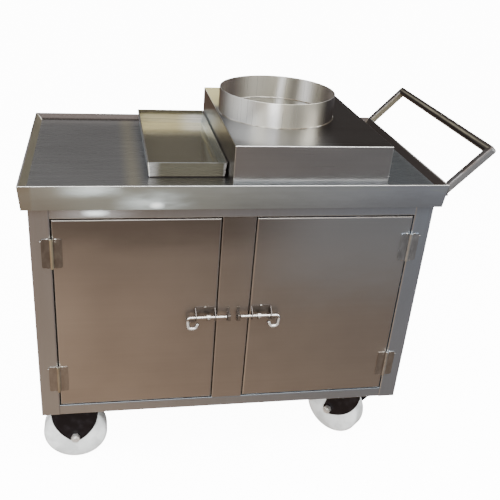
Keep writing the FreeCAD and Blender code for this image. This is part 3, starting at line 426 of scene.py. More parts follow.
def top_finish(tones):
    """Worktop: light apron, painted lighter towards its top and left and darker at its left end, with
    painted highlights; dull brushed deck; slopes in painted shade, with painted straw light on the
    left-end slope; a painted highlight along the front crest.
    """
    made = Finish("top_stainless")
    low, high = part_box("worktop")
    tray_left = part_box("lift_out_tray")[0].x
    box_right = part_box("pot_box")[1].x
    cloud = made.noise((4.0, 4.0, 9.0), 2.0, 0.5, 7.0)
    patch = made.noise((9.0, 9.0, 34.0), 3.0, 0.55, 3.0)
    streak = made.noise(LENGTHWAYS_STREAK, 3.0, 0.65)
    deck = made.ramp(made.up, 0.90, 0.97)

    silver = made.mix(made.ramp(made.x, low.x + 0.2, high.x), tones.apron, tones.cold)
    # Painted light: the apron lighter towards its top and towards its left end.
    rise = made.ramp(made.z, low.z, high.z, 0.92, 1.18)
    rise = rise * made.ramp(made.x, low.x, high.x - 0.30, 1.16, 1.0)
    apron = made.shade(silver, rise * (0.66 + cloud * 0.30 + patch * 0.40 + streak * 0.12))
    # Painted shade at the apron's left end.
    lean = made.x + made.z * 0.8
    corner = low.x + low.z * 0.8
    left_end = made.ramp(lean, corner + 0.16, corner + 0.05)
    apron = made.mix(left_end * 0.45, apron, scaled(tones.sheet, 0.62))
    burnt = made.ramp(made.x, low.x + 0.030, low.x + 0.022) * made.ramp(cloud, 0.25, 0.6)
    apron = made.mix(burnt * 0.8, apron, scaled(tones.straw, 0.6))
    # Painted highlights on the apron: a small bright one with a faint patchy halo, and a patchy painted
    # sheen near the top.
    faint = made.spot(low.x + 0.27, low.z + 0.016, 0.10, 0.034)
    sheen = made.spot(low.x + 0.15, high.z - 0.008, 0.09, 0.022)
    patchy_sheen = made.larger(faint, sheen) * made.ramp(patch, 0.25, 0.65) * 0.45
    painted_apron_highlight = made.larger(made.spot(low.x + 0.272, low.z + 0.010, 0.026, 0.014), patchy_sheen)
    painted_apron_highlight = painted_apron_highlight * made.ramp(made.front, -0.6, -0.9)
    apron = made.mix(painted_apron_highlight * 0.8, apron, APRON_GLEAM)

    grey = made.mix(0.30, tones.sheet, tones.cold)
    away = made.ramp(made.y, low.y, high.y, 0.0, 0.12)
    brushed = made.shade(grey, 0.49 + cloud * 0.26 + streak * 0.06 + away)
    beside_tray = made.band(made.x, tray_left - 0.030, 0.028)
    brushed = made.mix(beside_tray * 0.52, brushed, tones.straw)
    by_handle = made.ramp(made.x, box_right - 0.02, box_right)
    brushed = made.mix(by_handle, brushed, scaled(tones.cool, 0.42))
    tone = made.mix(deck, apron, brushed)

    # Painted shade on the back, front and right-end slopes, darkest at the back slope's foot; painted
    # straw light on the left-end slope.
    slope = made.ramp(made.up, 0.35, 0.5) * (1.0 - deck)
    foot = made.ramp(made.z, high.z - 0.008, high.z - 0.012)
    back_slope_shade = made.mix(foot, tones.shaded, scaled(tones.shaded, 0.3))
    tone = made.mix(slope * made.ramp(made.front, -0.3, -0.6), tone, back_slope_shade)
    tone = made.mix(slope * made.ramp(made.front, 0.3, 0.6) * 0.85, tone, scaled(tones.shaded, 1.5))
    tone = made.mix(slope * made.ramp(made.side, -0.3, -0.6), tone, tones.shaded)
    tone = made.mix(slope * made.ramp(made.side, 0.3, 0.6) * 0.9, tone, scaled(tones.straw, 0.95))
    # Painted highlight along the crest of the front half.
    front_half = made.ramp(made.y, 0.1, 0.0)
    crest = made.ramp(made.z, high.z - 0.0016, high.z - 0.0004) * front_half
    tone = made.mix(crest, tone, tones.bright)
    grain = made.brushed(LENGTHWAYS)
    return made.finish(tone, 0.28 - deck * 0.06 + grain * 0.12, 1.0 - painted_apron_highlight * 0.75, grain, 0.04)


def box_finish(tones):
    """Pot box: grey front in painted shade towards its foot, left side in painted shade with a painted
    gleam, top in painted shade towards the right and the front left, a painted yellow reflection in the
    back-left corner and painted highlights on the folds.
    """
    made = Finish("box_stainless")
    low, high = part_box("pot_box")
    cloud = made.noise((4.0, 4.0, 9.0), 2.0, 0.5, 9.0)
    streak = made.noise(LENGTHWAYS_STREAK, 3.0, 0.65)
    # Painted shade towards the foot of the box.
    foot = made.ramp(made.z, low.z + 0.030, low.z, 1.0, 0.70)
    mottle_and_painted_shading = foot * (0.76 + cloud * 0.30 + streak * 0.08)
    tone = made.shade(made.mix(0.55, tones.cool, tones.sheet), mottle_and_painted_shading)
    # Painted shade on the left side, with a painted gleam across it.
    left = made.ramp(made.side, -0.7, -0.95)
    slant = made.z + made.y * 0.284
    gleam = left * made.ramp(slant, low.z + 0.105, low.z + 0.097)
    gleam = gleam * made.ramp(made.y, low.y + 0.17, high.y - 0.08)
    tone = made.mix(left * 0.86, tone, tones.shaded)
    tone = made.mix(gleam * 0.8, tone, tones.cool)
    # Painted shade on the top, growing towards the right and at the front left.
    flat = made.ramp(made.up, 0.7, 0.95)
    across = made.ramp(made.x, low.x + 0.14, high.x - 0.10)
    near = made.ramp(made.y, low.y + 0.12, low.y) * made.ramp(made.x, low.x + 0.08, low.x)
    dark = flat * made.larger(0.43 + across * 0.57, near * 0.75)
    tone = made.mix(dark, tone, scaled(tones.shaded, 0.75))
    # Painted yellow reflection in the back-left corner of the top.
    corner = flat * made.ramp(made.x, low.x + 0.06, low.x + 0.03)
    corner = corner * made.ramp(made.y, high.y - 0.21, high.y - 0.15)
    tone = made.mix(corner, tone, tones.yellow_reflection)
    # Painted highlight on the folds.
    tone = made.mix(made.fold() * 0.8, tone, tones.bright)
    grain = made.brushed(LENGTHWAYS)
    return made.finish(tone, 0.24 + grain * 0.12, 1.0 - corner * 0.95 - gleam * 0.2, grain, 0.04)


def handle_finish(tones):
    """Dull streaked tube of the handle's arms: painted light on the faces that look to the front, straw
    on the back arm, painted shade on the rounded edges.
    """
    made = Finish("handle_stainless")
    cloud = made.noise((14.0, 14.0, 14.0), 3.0, 0.6, 1.0)
    streak = made.noise((40.0, 3.0, 40.0), 3.0, 0.65)
    dull = made.mix(made.ramp(streak, 0.35, 0.65), tones.shaded, scaled(tones.cool, 0.60))
    back_arm = made.ramp(made.y, 0.0, 0.1)
    pale = made.mix(back_arm, made.mix(0.5, tones.bright, tones.cool), tones.straw)
    # Painted light on the faces that look to the front, and painted shade on the rounded edges.
    tone = made.mix(made.ramp(made.front, -0.75, -0.95), dull, pale)
    tone = made.mix(made.fold() * 0.8, tone, tones.shaded)
    tone = made.shade(tone, 0.75 + cloud * 0.5)
    grain = made.brushed(UPRIGHT)
    return made.finish(tone, 0.30 + grain * 0.14, 1.0, grain, 0.06)


def crossbar_finish(tones):
    """Dull crossbar: painted shade on the edges, with a painted pale highlight down the middle of each
    flat.
    """
    made = Finish("crossbar_stainless")
    low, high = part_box("handle_crossbar")
    middle = (low + high) / 2
    arm_low, arm_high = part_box("handle_front_arm")
    half = (arm_high.y - arm_low.y) / 2
    cloud = made.noise((30.0, 9.0, 30.0), 3.0, 0.6, 1.0)
    # Painted highlight down the middle of each flat, painted shade towards the edges.
    off_axis = made.from_axis(x=middle.x, z=middle.z) + cloud * 0.0008
    line = made.ramp(off_axis, half * 1.01, half * 1.10, 1.0, 0.0)
    tone = made.mix(line, scaled(tones.shaded, 0.8), scaled(tones.straw, 0.55))
    tone = made.shade(tone, 0.75 + cloud * 0.5)
    grain = made.brushed(CROSSWAYS)
    return made.finish(tone, 0.30 + grain * 0.14, 1.0 - line * 0.3, grain, 0.06)


def well_finish(tones):
    """Rolled sleeve: painted reflections in bright upright bands, grey between them and painted shade
    where the wall turns away.
    """
    made = Finish("bright_stainless")
    low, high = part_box("pot_well")
    middle = (low + high) / 2
    reach = (high.x - low.x) / 2
    wave = made.noise((5.0, 5.0, 9.0), 1.0, 0.5, 2.0) - 0.5
    across = (made.x - middle.x) * 0.957 - (made.y - middle.y) * 0.29
    across = across * (1 / reach) + wave * 0.10
    inner = made.ramp(made.from_axis(x=middle.x, y=middle.y), reach - 0.0009, reach - 0.0011)

    # Painted reflections and painted shade, set by how far across the sleeve each point lies.
    grey = made.mix(0.5, tones.sheet, tones.cool)
    pale = made.mix(made.ramp(across, -0.8, 0.2), grey, made.mix(0.35, tones.straw, grey))
    flank = made.band(across, -0.48, 0.32)
    pale = made.mix(flank * 0.8, pale, made.mix(0.4, tones.bright, tones.cool))
    lit = made.ramp(across, -1.02, -0.66) * made.ramp(across, 0.90, 0.66)
    lit = lit * (1.0 - made.band(across, 0.38, 0.16) * 0.3)
    outside = made.mix(lit, scaled(tones.shaded, 0.8), pale)

    lit = made.ramp(across, -0.86, -0.46) * made.ramp(across, 0.90, 0.60)
    lit = lit * (1.0 - made.band(across, 0.26, 0.16) * 0.5)
    inside = made.mix(lit, scaled(tones.shaded, 1.6), made.mix(0.45, tones.straw, tones.bright))
    tone = made.mix(inner, outside, inside)

    # Painted highlights: an upright band outside, a narrower band and a glint inside.
    outer_gleam = made.band(across, 0.04, 0.17)
    inner_gleam = made.band(across, 0.03, 0.12) * 0.85
    glint = made.band(across, 0.50, 0.20) * inner
    gleam = made.larger(outer_gleam + (inner_gleam - outer_gleam) * inner, glint * 0.8)
    tone = made.mix(gleam, tone, WHITE)
    # Painted highlight on the faces that look up, along the lip.
    lip = made.ramp(made.up, 0.7, 0.95)
    tone = made.mix(lip * 0.6, tone, tones.bright)
    grain = made.brushed(UPRIGHT)
    tone = made.shade(tone, 0.98 + grain * 0.06)
    metallic = 0.78 - made.larger(gleam * 0.65, flank * 0.15)
    return made.finish(tone, 0.24 + grain * 0.10, metallic, grain, 0.03)


def tray_finish(tones):
    """Tray: back wall with a dark painted reflection below the hem and painted straw and silver
    reflections lower down, polished floor, inner walls in painted shade and painted light, olive front
    with painted highlights at its ends and a painted shadow at its foot, and a painted highlight along
    the hem.
    """
    made = Finish("tray_stainless")
    low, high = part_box("lift_out_tray")
    middle = (low + high) / 2
    half = (high.x - low.x) / 2
    cloud = made.noise((6.0, 3.0, 14.0), 2.0, 0.5, 2.0)
    streak = made.noise(LENGTHWAYS_STREAK, 3.0, 0.6)
    floor = made.ramp(made.up, 0.7, 0.95)
    tone = made.mix(floor, scaled(tones.straw, 1.05), scaled(tones.straw, 0.84))

    # Painted reflections on the back wall: dark just below the hem, straw and silver lower down.
    silver = made.ramp(made.x, middle.x + half * 0.1, high.x - half * 0.25)
    below_hem = made.ramp(made.z, high.z - 0.004, high.z - 0.016)
    plain = made.mix(silver, made.mix(0.4, scaled(tones.straw, 0.85), tones.yellow_reflection), tones.bright)
    back = made.mix(below_hem, scaled(tones.straw, 0.35), plain)
    back_wall = made.ramp(made.y, middle.y, high.y - 0.02) * made.ramp(made.front, -0.5, -0.9)
    tone = made.mix(back_wall, tone, back)
    # Painted shade on the walls that face right, painted silver light on the walls that face left.
    tone = made.mix(made.ramp(made.side, 0.5, 0.9), tone, scaled(tones.straw, 0.45))
    tone = made.mix(made.ramp(made.side, -0.5, -0.9), tone, scaled(tones.cool, 0.75))

    # Front wall: painted highlights at its ends and a painted shadow along its foot.
    outer = made.ramp(made.y, low.y + 0.012, low.y + 0.008) * made.ramp(made.front, -0.2, -0.6)
    left_end = made.ramp(made.x, low.x + 0.03, low.x + 0.005)
    right_end = made.ramp(made.x, high.x - 0.010, high.x - 0.004)
    foot = made.ramp(made.z, low.z + 0.004, low.z + 0.001)
    face = made.mix(made.larger(left_end, right_end) * 0.9, scaled(tones.straw, 0.34), tones.bright)
    tone = made.mix(outer, tone, made.mix(foot, face, scaled(tones.shaded, 0.5)))
    tone = made.shade(tone, 0.84 + cloud * 0.22 + streak * 0.08)
    # Painted highlight along the hem.
    hem = made.ramp(made.z, high.z - 0.0012, high.z - 0.0004)
    tone = made.mix(hem * 0.8, tone, tones.bright)
    grain = made.brushed(LENGTHWAYS)
    metallic = 1.0 - made.larger(back_wall * below_hem * 0.45, floor * 0.05)
    return made.finish(tone, 0.24 - floor * 0.13 + grain * 0.08, metallic, grain, 0.02)


def bolt_finish(tones):
    """Polished rod and collar: painted highlights in front and behind, painted shade between, with a
    paler, less metallic grip.
    """
    made = Finish("polished_steel")
    rod_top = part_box("left_bolt_rod")[1].z
    smear = made.noise((60.0, 60.0, 60.0), 3.0, 0.6)
    # Painted highlight on faces that look to the front or back, painted shade between them.
    facing = made.size(made.up * 0.5 - made.front * 0.8) + (smear - 0.5) * 0.3
    tone = made.mix(made.ramp(facing, 0.35, 0.85), scaled(tones.shaded, 0.6), tones.bolt)
    tone = made.shade(tone, 0.85 + smear * 0.3)
    grip = made.ramp(made.z, rod_top - 0.008, rod_top - 0.012)
    return made.finish(tone, 0.14 + smear * 0.14, 1.0 - grip * 0.28, smear, 0.05)


def bracket_finish(tones):
    """Dull folded plate of the bolt brackets and keepers, with painted shade on the cut edges."""
    made = Finish("bracket_steel")
    smear = made.noise((70.0, 70.0, 70.0), 3.0, 0.6)
    tone = made.shade(tones.sheet, 0.36 + smear * 0.44)
    # Painted shade on the cut edges, which don't face the front.
    edge = made.ramp(made.size(made.front), 0.95, 0.5)
    tone = made.mix(edge * 0.8, tone, tones.shaded)
    return made.finish(tone, 0.30 + smear * 0.2, 1.0, smear, 0.08)


def hinge_finish(tones):
    """Dull leaves with a painted highlight on the barrel, greyer on the right, the lower pair closer to
    the sheet.
    """
    made = Finish("hinge_steel")
    low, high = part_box("left_hinge_post_leaves")
    smear = made.noise((90.0, 90.0, 40.0), 3.0, 0.65)
    lower = made.ramp(made.z, high.z - 0.10, low.z + 0.10)
    right = made.ramp(made.x, -0.1, 0.1)
    upper_right = right * (1.0 - lower)
    leaf = made.mix(upper_right * 0.8, tones.sheet, tones.cool)
    leaf = made.shade(leaf, 0.26 + smear * 0.48 + lower * 0.22 + upper_right * 0.22)
    # Painted highlight on the barrel, weaker on the lower hinges.
    barrel = made.ramp(made.y, low.y + 0.0015, low.y + 0.0045, 1.0, 0.0) * (1.0 - lower * 0.45)
    barrel_highlight = made.mix(right * 0.7, tones.straw, tones.cool)
    tone = made.mix(barrel, leaf, made.shade(barrel_highlight, 0.9 + smear * 0.4))
    return made.finish(tone, 0.30 + smear * 0.2, 1.0, smear, 0.1)


def plated_finish():
    """Zinc-plated fasteners."""
    made = Finish("plated_steel")
    smear = made.noise((220.0, 220.0, 220.0), 3.0, 0.6)
    tone = made.shade(ZINC, 0.75 + smear * 0.45)
    return made.finish(tone, 0.28 + smear * 0.2, 0.7, smear)


def paint_finish():
    """Black painted pressings with scuffed patches."""
    made = Finish("black_paint")
    smear = made.noise((45.0, 45.0, 45.0), 4.0, 0.6)
    tone = made.mix(made.ramp(smear, 0.45, 0.8), BLACK_PAINT, RUBBED_PAINT)
    made.shader.inputs["Specular IOR Level"].default_value = 0.25
    return made.finish(tone, 0.32 + smear * 0.25, 0.0, smear, 0.2, 0.0004)


def wheel_finish(tones):
    """White moulded nylon, scuffed and clouded, a little greyer near the floor."""
    made = Finish("white_nylon")
    scuff = made.noise((38.0, 38.0, 38.0), 4.0, 0.65)
    cloud = made.ramp(made.noise((26.0, 26.0, 26.0), 2.0, 0.5, 5.0), 0.36, 0.62)
    near_floor = made.ramp(made.z, 0.0, 0.10, 0.86, 1.0)
    tone = made.shade(tones.wheel, near_floor * (0.66 + scuff * 0.22 + cloud * 0.22))
    made.shader.inputs["Specular IOR Level"].default_value = 0.45
    return made.finish(tone, 0.30 + scuff * 0.25, 0.0, scuff, 0.12, 0.0004)


def bush_finish():
    """Plain grey bush."""
    made = Finish("grey_plastic")
    scuff = made.noise((150.0, 150.0, 150.0), 3.0, 0.6)
    return made.finish(made.shade(BUSH_GREY, 0.7 + scuff * 0.6), 0.5, 0.0, scuff)


def weld_finish():
    """Bright rippled bead with dull brown heat marks."""
    made = Finish("weld_bead")
    lumps = made.noise((420.0, 420.0, 420.0), 3.0, 0.7)
    heat = made.noise((24.0, 24.0, 24.0), 2.0, 0.5, 3.0)
    tone = made.mix(made.ramp(heat, 0.38, 0.58), BRIGHT_WELD, BURNT_WELD)
    tone = made.shade(tone, 0.75 + lumps * 0.5)
    return made.finish(tone, 0.22 + lumps * 0.3, 1.0, lumps, 0.4, 0.0005)


def floor_finish(glow):
    """Plain pale floor that stays white in the shade."""
    made = Finish("pale_floor")
    cloud = made.noise((0.7, 0.7, 0.7), 2.0, 0.5)
    made.shader.inputs["Emission Color"].default_value = opaque(WHITE)
    made.shader.inputs["Emission Strength"].default_value = glow
    return made.finish(made.shade(FLOOR_GREY, 0.98 + cloud * 0.04), 0.9, 0.0)


def deselect():
    """Leave nothing selected in object mode."""
    if bpy.context.mode != "OBJECT":
        bpy.ops.object.mode_set(mode="OBJECT")
    bpy.ops.object.select_all(action="DESELECT")


def pick(piece, kind, test):
    """Enter edit mode with only the edges or faces chosen that pass a test."""
    bpy.ops.object.mode_set(mode="EDIT")
    bpy.ops.mesh.select_mode(type=kind)
    bpy.ops.mesh.select_all(action="DESELECT")
    bpy.ops.object.mode_set(mode="OBJECT")
    mesh = piece.data
    parts = mesh.edges if kind == "EDGE" else mesh.polygons
    for part in parts:
        part.select = test(part, [mesh.vertices[index].co for index in part.vertices])
    bpy.ops.object.mode_set(mode="EDIT")


def ripple(piece, depth, size):
    """Make a surface lumpy like a run of weld."""
    texture = bpy.data.textures.new(piece.name + "_ripple", "CLOUDS")
    texture.noise_scale = size
    lumps = piece.modifiers.new("ripple", "DISPLACE")
    lumps.texture = texture
    lumps.texture_coords = "LOCAL"
    lumps.strength = depth
    bpy.ops.object.modifier_apply(modifier=lumps.name)


def settle(piece, name):
    """Move a finished piece's place into its mesh and name it."""
    bpy.ops.object.transform_apply(location=True, rotation=True, scale=True)
    piece.name = name
    piece.data.name = name
    bpy.ops.object.shade_smooth()
    return piece


def straight_bead(name, start, end, radius):
    """Run of weld between two points: a bar cut into short lengths, rounded and rippled."""
    deselect()
    way = end - start
    bpy.ops.mesh.primitive_cylinder_add(
        vertices=BEAD_SIDES,
        radius=radius,
        depth=way.length,
        location=(start + end) / 2,
        rotation=way.to_track_quat("Z", "Y").to_euler(),
    )
    piece = bpy.context.object
    half = way.length / 2
    pick(piece, "EDGE", lambda edge, ends: abs(ends[0].z - ends[1].z) > half)
    bpy.ops.mesh.subdivide(number_cuts=max(4, int(way.length / radius)))
    pick(piece, "EDGE", lambda edge, ends: min(abs(ends[0].z), abs(ends[1].z)) > half * 0.999)
    bpy.ops.mesh.bevel(offset=radius * 0.6, segments=3, affect="EDGES")
    bpy.ops.object.mode_set(mode="OBJECT")
    ripple(piece, radius * 0.5, radius * 1.2)
    return settle(piece, name)


def round_bead(name, centre, ring, radius):
    """Run of weld round a circle: a ring flattened a little and rippled."""
    deselect()
    bpy.ops.mesh.primitive_torus_add(
        location=centre,
        major_radius=ring,
        minor_radius=radius,
        major_segments=RING_STEPS,
        minor_segments=BEAD_SIDES,
    )
    piece = bpy.context.object
    bpy.ops.object.mode_set(mode="EDIT")
    bpy.ops.mesh.select_all(action="SELECT")
    bpy.ops.transform.resize(value=RING_FLATTEN, center_override=centre)
    bpy.ops.object.mode_set(mode="OBJECT")
    ripple(piece, radius * 0.6, radius * 2.0)
    return settle(piece, name)


def tack(name, place, size):
    """Single drop of weld lying against an upright face that looks towards -Y."""
    deselect()
    bpy.ops.mesh.primitive_uv_sphere_add(
        segments=TACK_STEPS, ring_count=TACK_RINGS, radius=size / 2, location=place
    )
    piece = bpy.context.object
    bpy.ops.object.mode_set(mode="EDIT")
    bpy.ops.mesh.select_all(action="SELECT")
    bpy.ops.transform.resize(value=TACK_FLATTEN, center_override=place)
    bpy.ops.mesh.bisect(plane_co=place, plane_no=(0, 1, 0), clear_outer=True, use_fill=True)
    bpy.ops.object.mode_set(mode="OBJECT")
    ripple(piece, size * 0.12, size * 0.3)
    return settle(piece, name)


def joined(pieces, name):
    """One piece out of several."""
    deselect()
    for piece in pieces:
        piece.select_set(True)
    bpy.context.view_layer.objects.active = pieces[0]
    bpy.ops.object.join()
    made = bpy.context.object
    made.name = name
    made.data.name = name
    return made


def dress(piece, material, body):
    """Give a new piece its finish and its body."""
    piece.data.materials.clear()
    piece.data.materials.append(material)
    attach(piece, body)


def weld_material():
    """The weld finish, made once."""
    return bpy.data.materials.get("weld_bead") or weld_finish()


class TROLLEY_OT_finishes(bpy.types.Operator):
    """Give every carried-over piece its brushed, polished, painted or moulded finish"""

    bl_idname = "trolley.finishes"
    bl_label = "Finishes"

    def execute(self, context):
        tones = context.scene.trolley_finishes
        doors = door_finish(tones)
        brackets = bracket_finish(tones)
        by_slot = {
            "door_stainless": doors,
            "frame_stainless": frame_finish(tones),
            "top_stainless": top_finish(tones),
            "bright_stainless": well_finish(tones),
            "polished_steel": bolt_finish(tones),
            "hinge_steel": hinge_finish(tones),
            "plated_steel": plated_finish(),
            "black_paint": paint_finish(),
            "white_nylon": wheel_finish(tones),
            "grey_plastic": bush_finish(),
        }
        by_node = {
            "lift_out_tray": tray_finish(tones),
            "pot_box": box_finish(tones),
            "handle_crossbar": crossbar_finish(tones),
            "mullion": doors,
        }
        handle = handle_finish(tones)
        for bar in ("front_arm", "back_arm"):
            by_node["handle_" + bar] = handle
        for side in SIDES:
            by_node[side + "_bolt_bracket"] = brackets
            by_node[side + "_bolt_keeper"] = brackets
        for row in frame["record"]["subparts"]:
            node = frame["nodes"][row["node"]]
            material = by_node.get(row["node"], by_slot[row["material_slot"]])
            node.data.materials.clear()
            node.data.materials.append(material)
        return {"FINISHED"}


class TROLLEY_OT_well_welds(bpy.types.Operator):
    """Run a weld round the pot well at the box top, outside and inside its wall"""

    bl_idname = "trolley.well_welds"
    bl_label = "Well welds"

    def execute(self, context):
        radius = context.scene.trolley_sizes.well_bead
        low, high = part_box("pot_well")
        box_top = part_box("pot_box")[1].z
        centre = Vector(((low.x + high.x) / 2, (low.y + high.y) / 2, box_top + radius * 0.3))
        outer = (high.x - low.x) / 2
        bead = round_bead("well_outer_weld", centre, outer + radius * 0.3, radius)
        dress(bead, weld_material(), "cabinet")
        bead = round_bead("well_inner_weld", centre, outer - WELL_WALL - radius * 0.2, radius)
        dress(bead, weld_material(), "cabinet")
        return {"FINISHED"}


class TROLLEY_OT_rim_welds(bpy.types.Operator):
    """Close the mitred corners of the worktop's rim with dressed welds"""

    bl_idname = "trolley.rim_welds"
    bl_label = "Rim welds"

    def execute(self, context):
        radius = context.scene.trolley_sizes.rim_bead
        low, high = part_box("worktop")
        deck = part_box("pot_box")[0].z
        beads = []
        for x, in_x in ((low.x, 1), (high.x, -1)):
            for y, in_y in ((low.y, 1), (high.y, -1)):
                foot = Vector((x + in_x * RIM_FOOT_INSET, y + in_y * RIM_FOOT_INSET, deck))
                crest = Vector((x + in_x * RIM_CREST_INSET, y + in_y * RIM_CREST_INSET, high.z - radius))
                beads.append(straight_bead("rim_corner", foot, crest, radius))
        dress(joined(beads, "rim_corner_welds"), weld_material(), "cabinet")
        return {"FINISHED"}


class TROLLEY_OT_handle_welds(bpy.types.Operator):
    """Weld the root of each handle arm to the worktop, above and below"""

    bl_idname = "trolley.handle_welds"
    bl_label = "Handle welds"

    def execute(self, context):
        radius = context.scene.trolley_sizes.handle_bead
        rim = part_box("worktop")[1]
        beads = []
        for arm in ("handle_front_arm", "handle_back_arm"):
            low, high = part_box(arm)
            for name, x, z in (("arm_top", rim.x, rim.z), ("arm_foot", low.x + radius, low.z)):
                start = Vector((x, low.y + radius, z))
                end = Vector((x, high.y - radius, z))
                beads.append(straight_bead(name, start, end, radius))
        dull = bpy.data.materials["handle_stainless"]
        dress(joined(beads, "handle_root_welds"), dull, "cabinet")
        return {"FINISHED"}


class TROLLEY_OT_hinge_welds(bpy.types.Operator):
    """Tack the hinge leaves to the posts and to the doors"""

    bl_idname = "trolley.hinge_welds"
    bl_label = "Hinge welds"

    def execute(self, context):
        size = context.scene.trolley_sizes.tack
        for side in SIDES:
            for leaf, body in (("post", "cabinet"), ("door", side + "_door")):
                low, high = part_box(side + "_hinge_" + leaf + "_leaves")
                face = high.y - MILLIMETRE
                x = (low.x + high.x) / 2
                edge = x
                if leaf == "post":
                    edge = low.x if side == "left" else high.x
                tacks = []
                for foot in (low.z, high.z - HINGE_HEIGHT):
                    head = foot + HINGE_HEIGHT
                    for place in ((x, face, foot), (x, face, head), (edge, face, head - size)):
                        tacks.append(tack("leaf_tack", Vector(place), size))
                piece = joined(tacks, side + "_hinge_" + leaf + "_welds")
                dress(piece, weld_material(), body)
        return {"FINISHED"}


class TROLLEY_OT_bolt_welds(bpy.types.Operator):
    """Tack the bolt brackets to the doors and the keepers to the mullion"""

    bl_idname = "trolley.bolt_welds"
    bl_label = "Bolt welds"

    def execute(self, context):
        size = context.scene.trolley_sizes.tack
        for side in SIDES:
            for node, body in (("_bolt_bracket", side + "_door"), ("_bolt_keeper", "cabinet")):
                low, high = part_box(side + node)
                face = high.y - MILLIMETRE
                x = (low.x + high.x) / 2
                tacks = [tack("plate_tack", Vector((x, face, z)), size) for z in (low.z, high.z)]
                dress(joined(tacks, side + node + "_welds"), weld_material(), body)
        return {"FINISHED"}


class TROLLEY_OT_grub_screws(bpy.types.Operator):
    """Set a socket screw in each bolt collar"""

    bl_idname = "trolley.grub_screws"
    bl_label = "Grub screws"

    def execute(self, context):
        radius = context.scene.trolley_sizes.grub_screw
        depth = radius
        for side in SIDES:
            low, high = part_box(side + "_bolt_collar")
            deselect()
            bpy.ops.mesh.primitive_cylinder_add(
                vertices=SCREW_SIDES,
                radius=radius,
                depth=depth,
                location=((low.x + high.x) / 2, low.y + depth / 3, (low.z + high.z) / 2),
                rotation=(math.radians(90), 0, 0),
            )
            screw = bpy.context.object
            pick(screw, "FACE", lambda face, corners: face.normal.z > 0.9)
            bpy.ops.mesh.inset(thickness=radius * SOCKET_WALL)
            sink = {"value": (0, depth * SOCKET_DEPTH, 0), "orient_type": "GLOBAL"}
            bpy.ops.mesh.extrude_region_move(TRANSFORM_OT_translate=sink)
            bpy.ops.object.mode_set(mode="OBJECT")
            settle(screw, side + "_collar_screw")
            bpy.ops.object.shade_flat()
            dress(screw, bpy.data.materials["plated_steel"], side + "_bolt_slider")
        return {"FINISHED"}


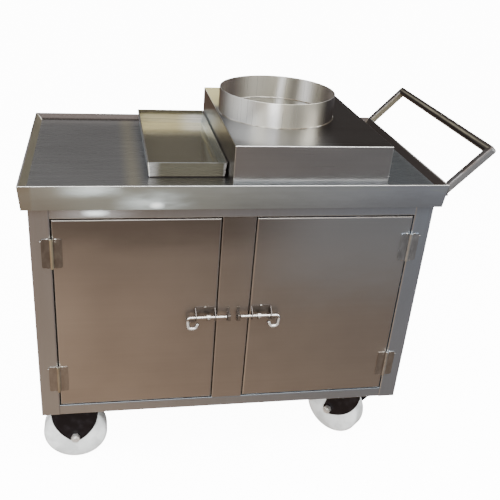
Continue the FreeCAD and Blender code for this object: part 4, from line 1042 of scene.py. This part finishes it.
class TROLLEY_OT_stage(bpy.types.Operator):
    """Lay the floor, hang the backdrop and the soft lights and set up the camera"""

    bl_idname = "trolley.stage"
    bl_label = "Stage"

    def execute(self, context):
        stage = context.scene.trolley_stage
        self.lay_floor(stage)
        self.hang_backdrop()
        self.light_sky(context, stage)
        self.hang_light("key_light", (-1.8, -2.0, 2.4), (1.6, 1.2), stage.key)
        self.hang_light("strip_light", (0.0, -1.5, 2.9), (2.4, 0.5), stage.key)
        self.hang_light("fill_light", (2.4, -1.2, 1.9), (1.2, 1.6), stage.key * 0.8)
        low_light = self.hang_light("low_light", (-0.7, -1.9, 0.35), (2.0, 0.6), stage.key * 1.2)
        low_light.visible_glossy = False
        self.set_camera(context, stage)
        return {"FINISHED"}

    def lay_floor(self, stage):
        """Wide floor just under the wheels, which the metal doesn't mirror."""
        deselect()
        bpy.ops.mesh.primitive_plane_add(size=FLOOR_SIZE, location=(0, 0, -FLOOR_DROP))
        floor = bpy.context.object
        bpy.ops.object.mode_set(mode="EDIT")
        bpy.ops.mesh.subdivide(number_cuts=3)
        bpy.ops.object.mode_set(mode="OBJECT")
        settle(floor, "floor")
        floor.data.materials.append(floor_finish(stage.floor_glow))
        floor.visible_glossy = False
        floor.visible_diffuse = False

    def hang_backdrop(self):
        """Pale cloth all round, which only the camera sees."""
        deselect()
        bpy.ops.mesh.primitive_circle_add(
            vertices=BACKDROP_SIDES, radius=BACKDROP_RADIUS, location=(0, 0, BACKDROP_FOOT)
        )
        cloth = bpy.context.object
        bpy.ops.object.mode_set(mode="EDIT")
        bpy.ops.mesh.select_mode(type="EDGE")
        bpy.ops.mesh.select_all(action="SELECT")
        bpy.ops.mesh.extrude_region_move(TRANSFORM_OT_translate={"value": (0, 0, BACKDROP_HEIGHT)})
        bpy.ops.object.mode_set(mode="OBJECT")
        settle(cloth, "backdrop")
        cloth.data.materials.append(bpy.data.materials["pale_floor"])
        cloth.visible_glossy = False
        cloth.visible_diffuse = False
        cloth.visible_shadow = False

    def light_sky(self, context, stage):
        """Room round the trolley: ground below, light ceiling, a dark side behind."""
        world = bpy.data.worlds.new("studio")
        world.use_nodes = True
        context.scene.world = world
        room = Graph(world.node_tree)
        x, y, z = room.split(room.node("ShaderNodeTexCoord", output="Generated"))
        far = room.ramp(z, -0.68, -0.35)
        left = room.mix(far, stage.near_left, stage.far_left)
        right = room.mix(far, stage.near_right, stage.far_right)
        ground = room.mix(room.ramp(x, 0.0, 0.30), left, right)
        walls = room.mix(room.ramp(z, 0.25, 0.7), stage.walls, stage.ceiling)
        behind = room.ramp(y, 0.25, 0.75) * room.ramp(z, 0.75, 0.35)
        walls = room.mix(behind, walls, stage.recess)
        sky = room.mix(room.ramp(z, -0.04, 0.04), ground, walls)
        background = world.node_tree.nodes["Background"]
        room.join(background, {"Color": sky, "Strength": stage.sky})

    def hang_light(self, name, place, size, power):
        """Soft box that looks at the middle of the cabinet."""
        deselect()
        bpy.ops.object.light_add(type="AREA", location=place)
        light = bpy.context.object
        light.name = name
        light.data.shape = "RECTANGLE"
        light.data.size, light.data.size_y = size
        light.data.energy = power
        aim = LIGHT_AIM - Vector(place)
        light.rotation_euler = aim.to_track_quat("-Z", "Y").to_euler()
        return light

    def set_camera(self, context, stage):
        """Camera at the photograph's place."""
        deselect()
        bpy.ops.object.camera_add(location=stage.camera_place, rotation=Euler(stage.camera_turn))
        camera = bpy.context.object
        camera.data.lens = stage.lens
        camera.data.sensor_width = SENSOR_WIDTH
        camera.data.shift_x = stage.shift_x
        camera.data.shift_y = stage.shift_y
        camera.data.clip_end = VIEW_REACH
        context.scene.camera = camera


class TROLLEY_PT_panel(bpy.types.Panel):
    """Lists the settings and the steps that dress the trolley"""

    bl_label = "Serving Trolley"
    bl_idname = "TROLLEY_PT_panel"
    bl_space_type = "VIEW_3D"
    bl_region_type = "UI"
    bl_category = "Trolley"

    def draw(self, context):
        for group in ("trolley_sizes", "trolley_finishes", "trolley_stage"):
            settings = getattr(context.scene, group)
            for name in settings.__annotations__:
                self.layout.prop(settings, name)
        for step in STEPS:
            self.layout.operator(step.bl_idname)


STEPS = (
    TROLLEY_OT_finishes,
    TROLLEY_OT_well_welds,
    TROLLEY_OT_rim_welds,
    TROLLEY_OT_handle_welds,
    TROLLEY_OT_hinge_welds,
    TROLLEY_OT_bolt_welds,
    TROLLEY_OT_grub_screws,
    TROLLEY_OT_stage,
)
CLASSES = (TrolleySizes, TrolleyFinishes, TrolleyStage) + STEPS + (TROLLEY_PT_panel,)


def register():
    for each in CLASSES:
        bpy.utils.register_class(each)
    bpy.types.Scene.trolley_sizes = PointerProperty(type=TrolleySizes)
    bpy.types.Scene.trolley_finishes = PointerProperty(type=TrolleyFinishes)
    bpy.types.Scene.trolley_stage = PointerProperty(type=TrolleyStage)


def unregister():
    del bpy.types.Scene.trolley_stage
    del bpy.types.Scene.trolley_finishes
    del bpy.types.Scene.trolley_sizes
    for each in reversed(CLASSES):
        bpy.utils.unregister_class(each)


def main():
    register()
    bpy.ops.trolley.finishes()
    bpy.ops.trolley.well_welds()
    bpy.ops.trolley.rim_welds()
    bpy.ops.trolley.handle_welds()
    bpy.ops.trolley.hinge_welds()
    bpy.ops.trolley.bolt_welds()
    bpy.ops.trolley.grub_screws()
    bpy.ops.trolley.stage()


if __name__ == "__main__":
    main()
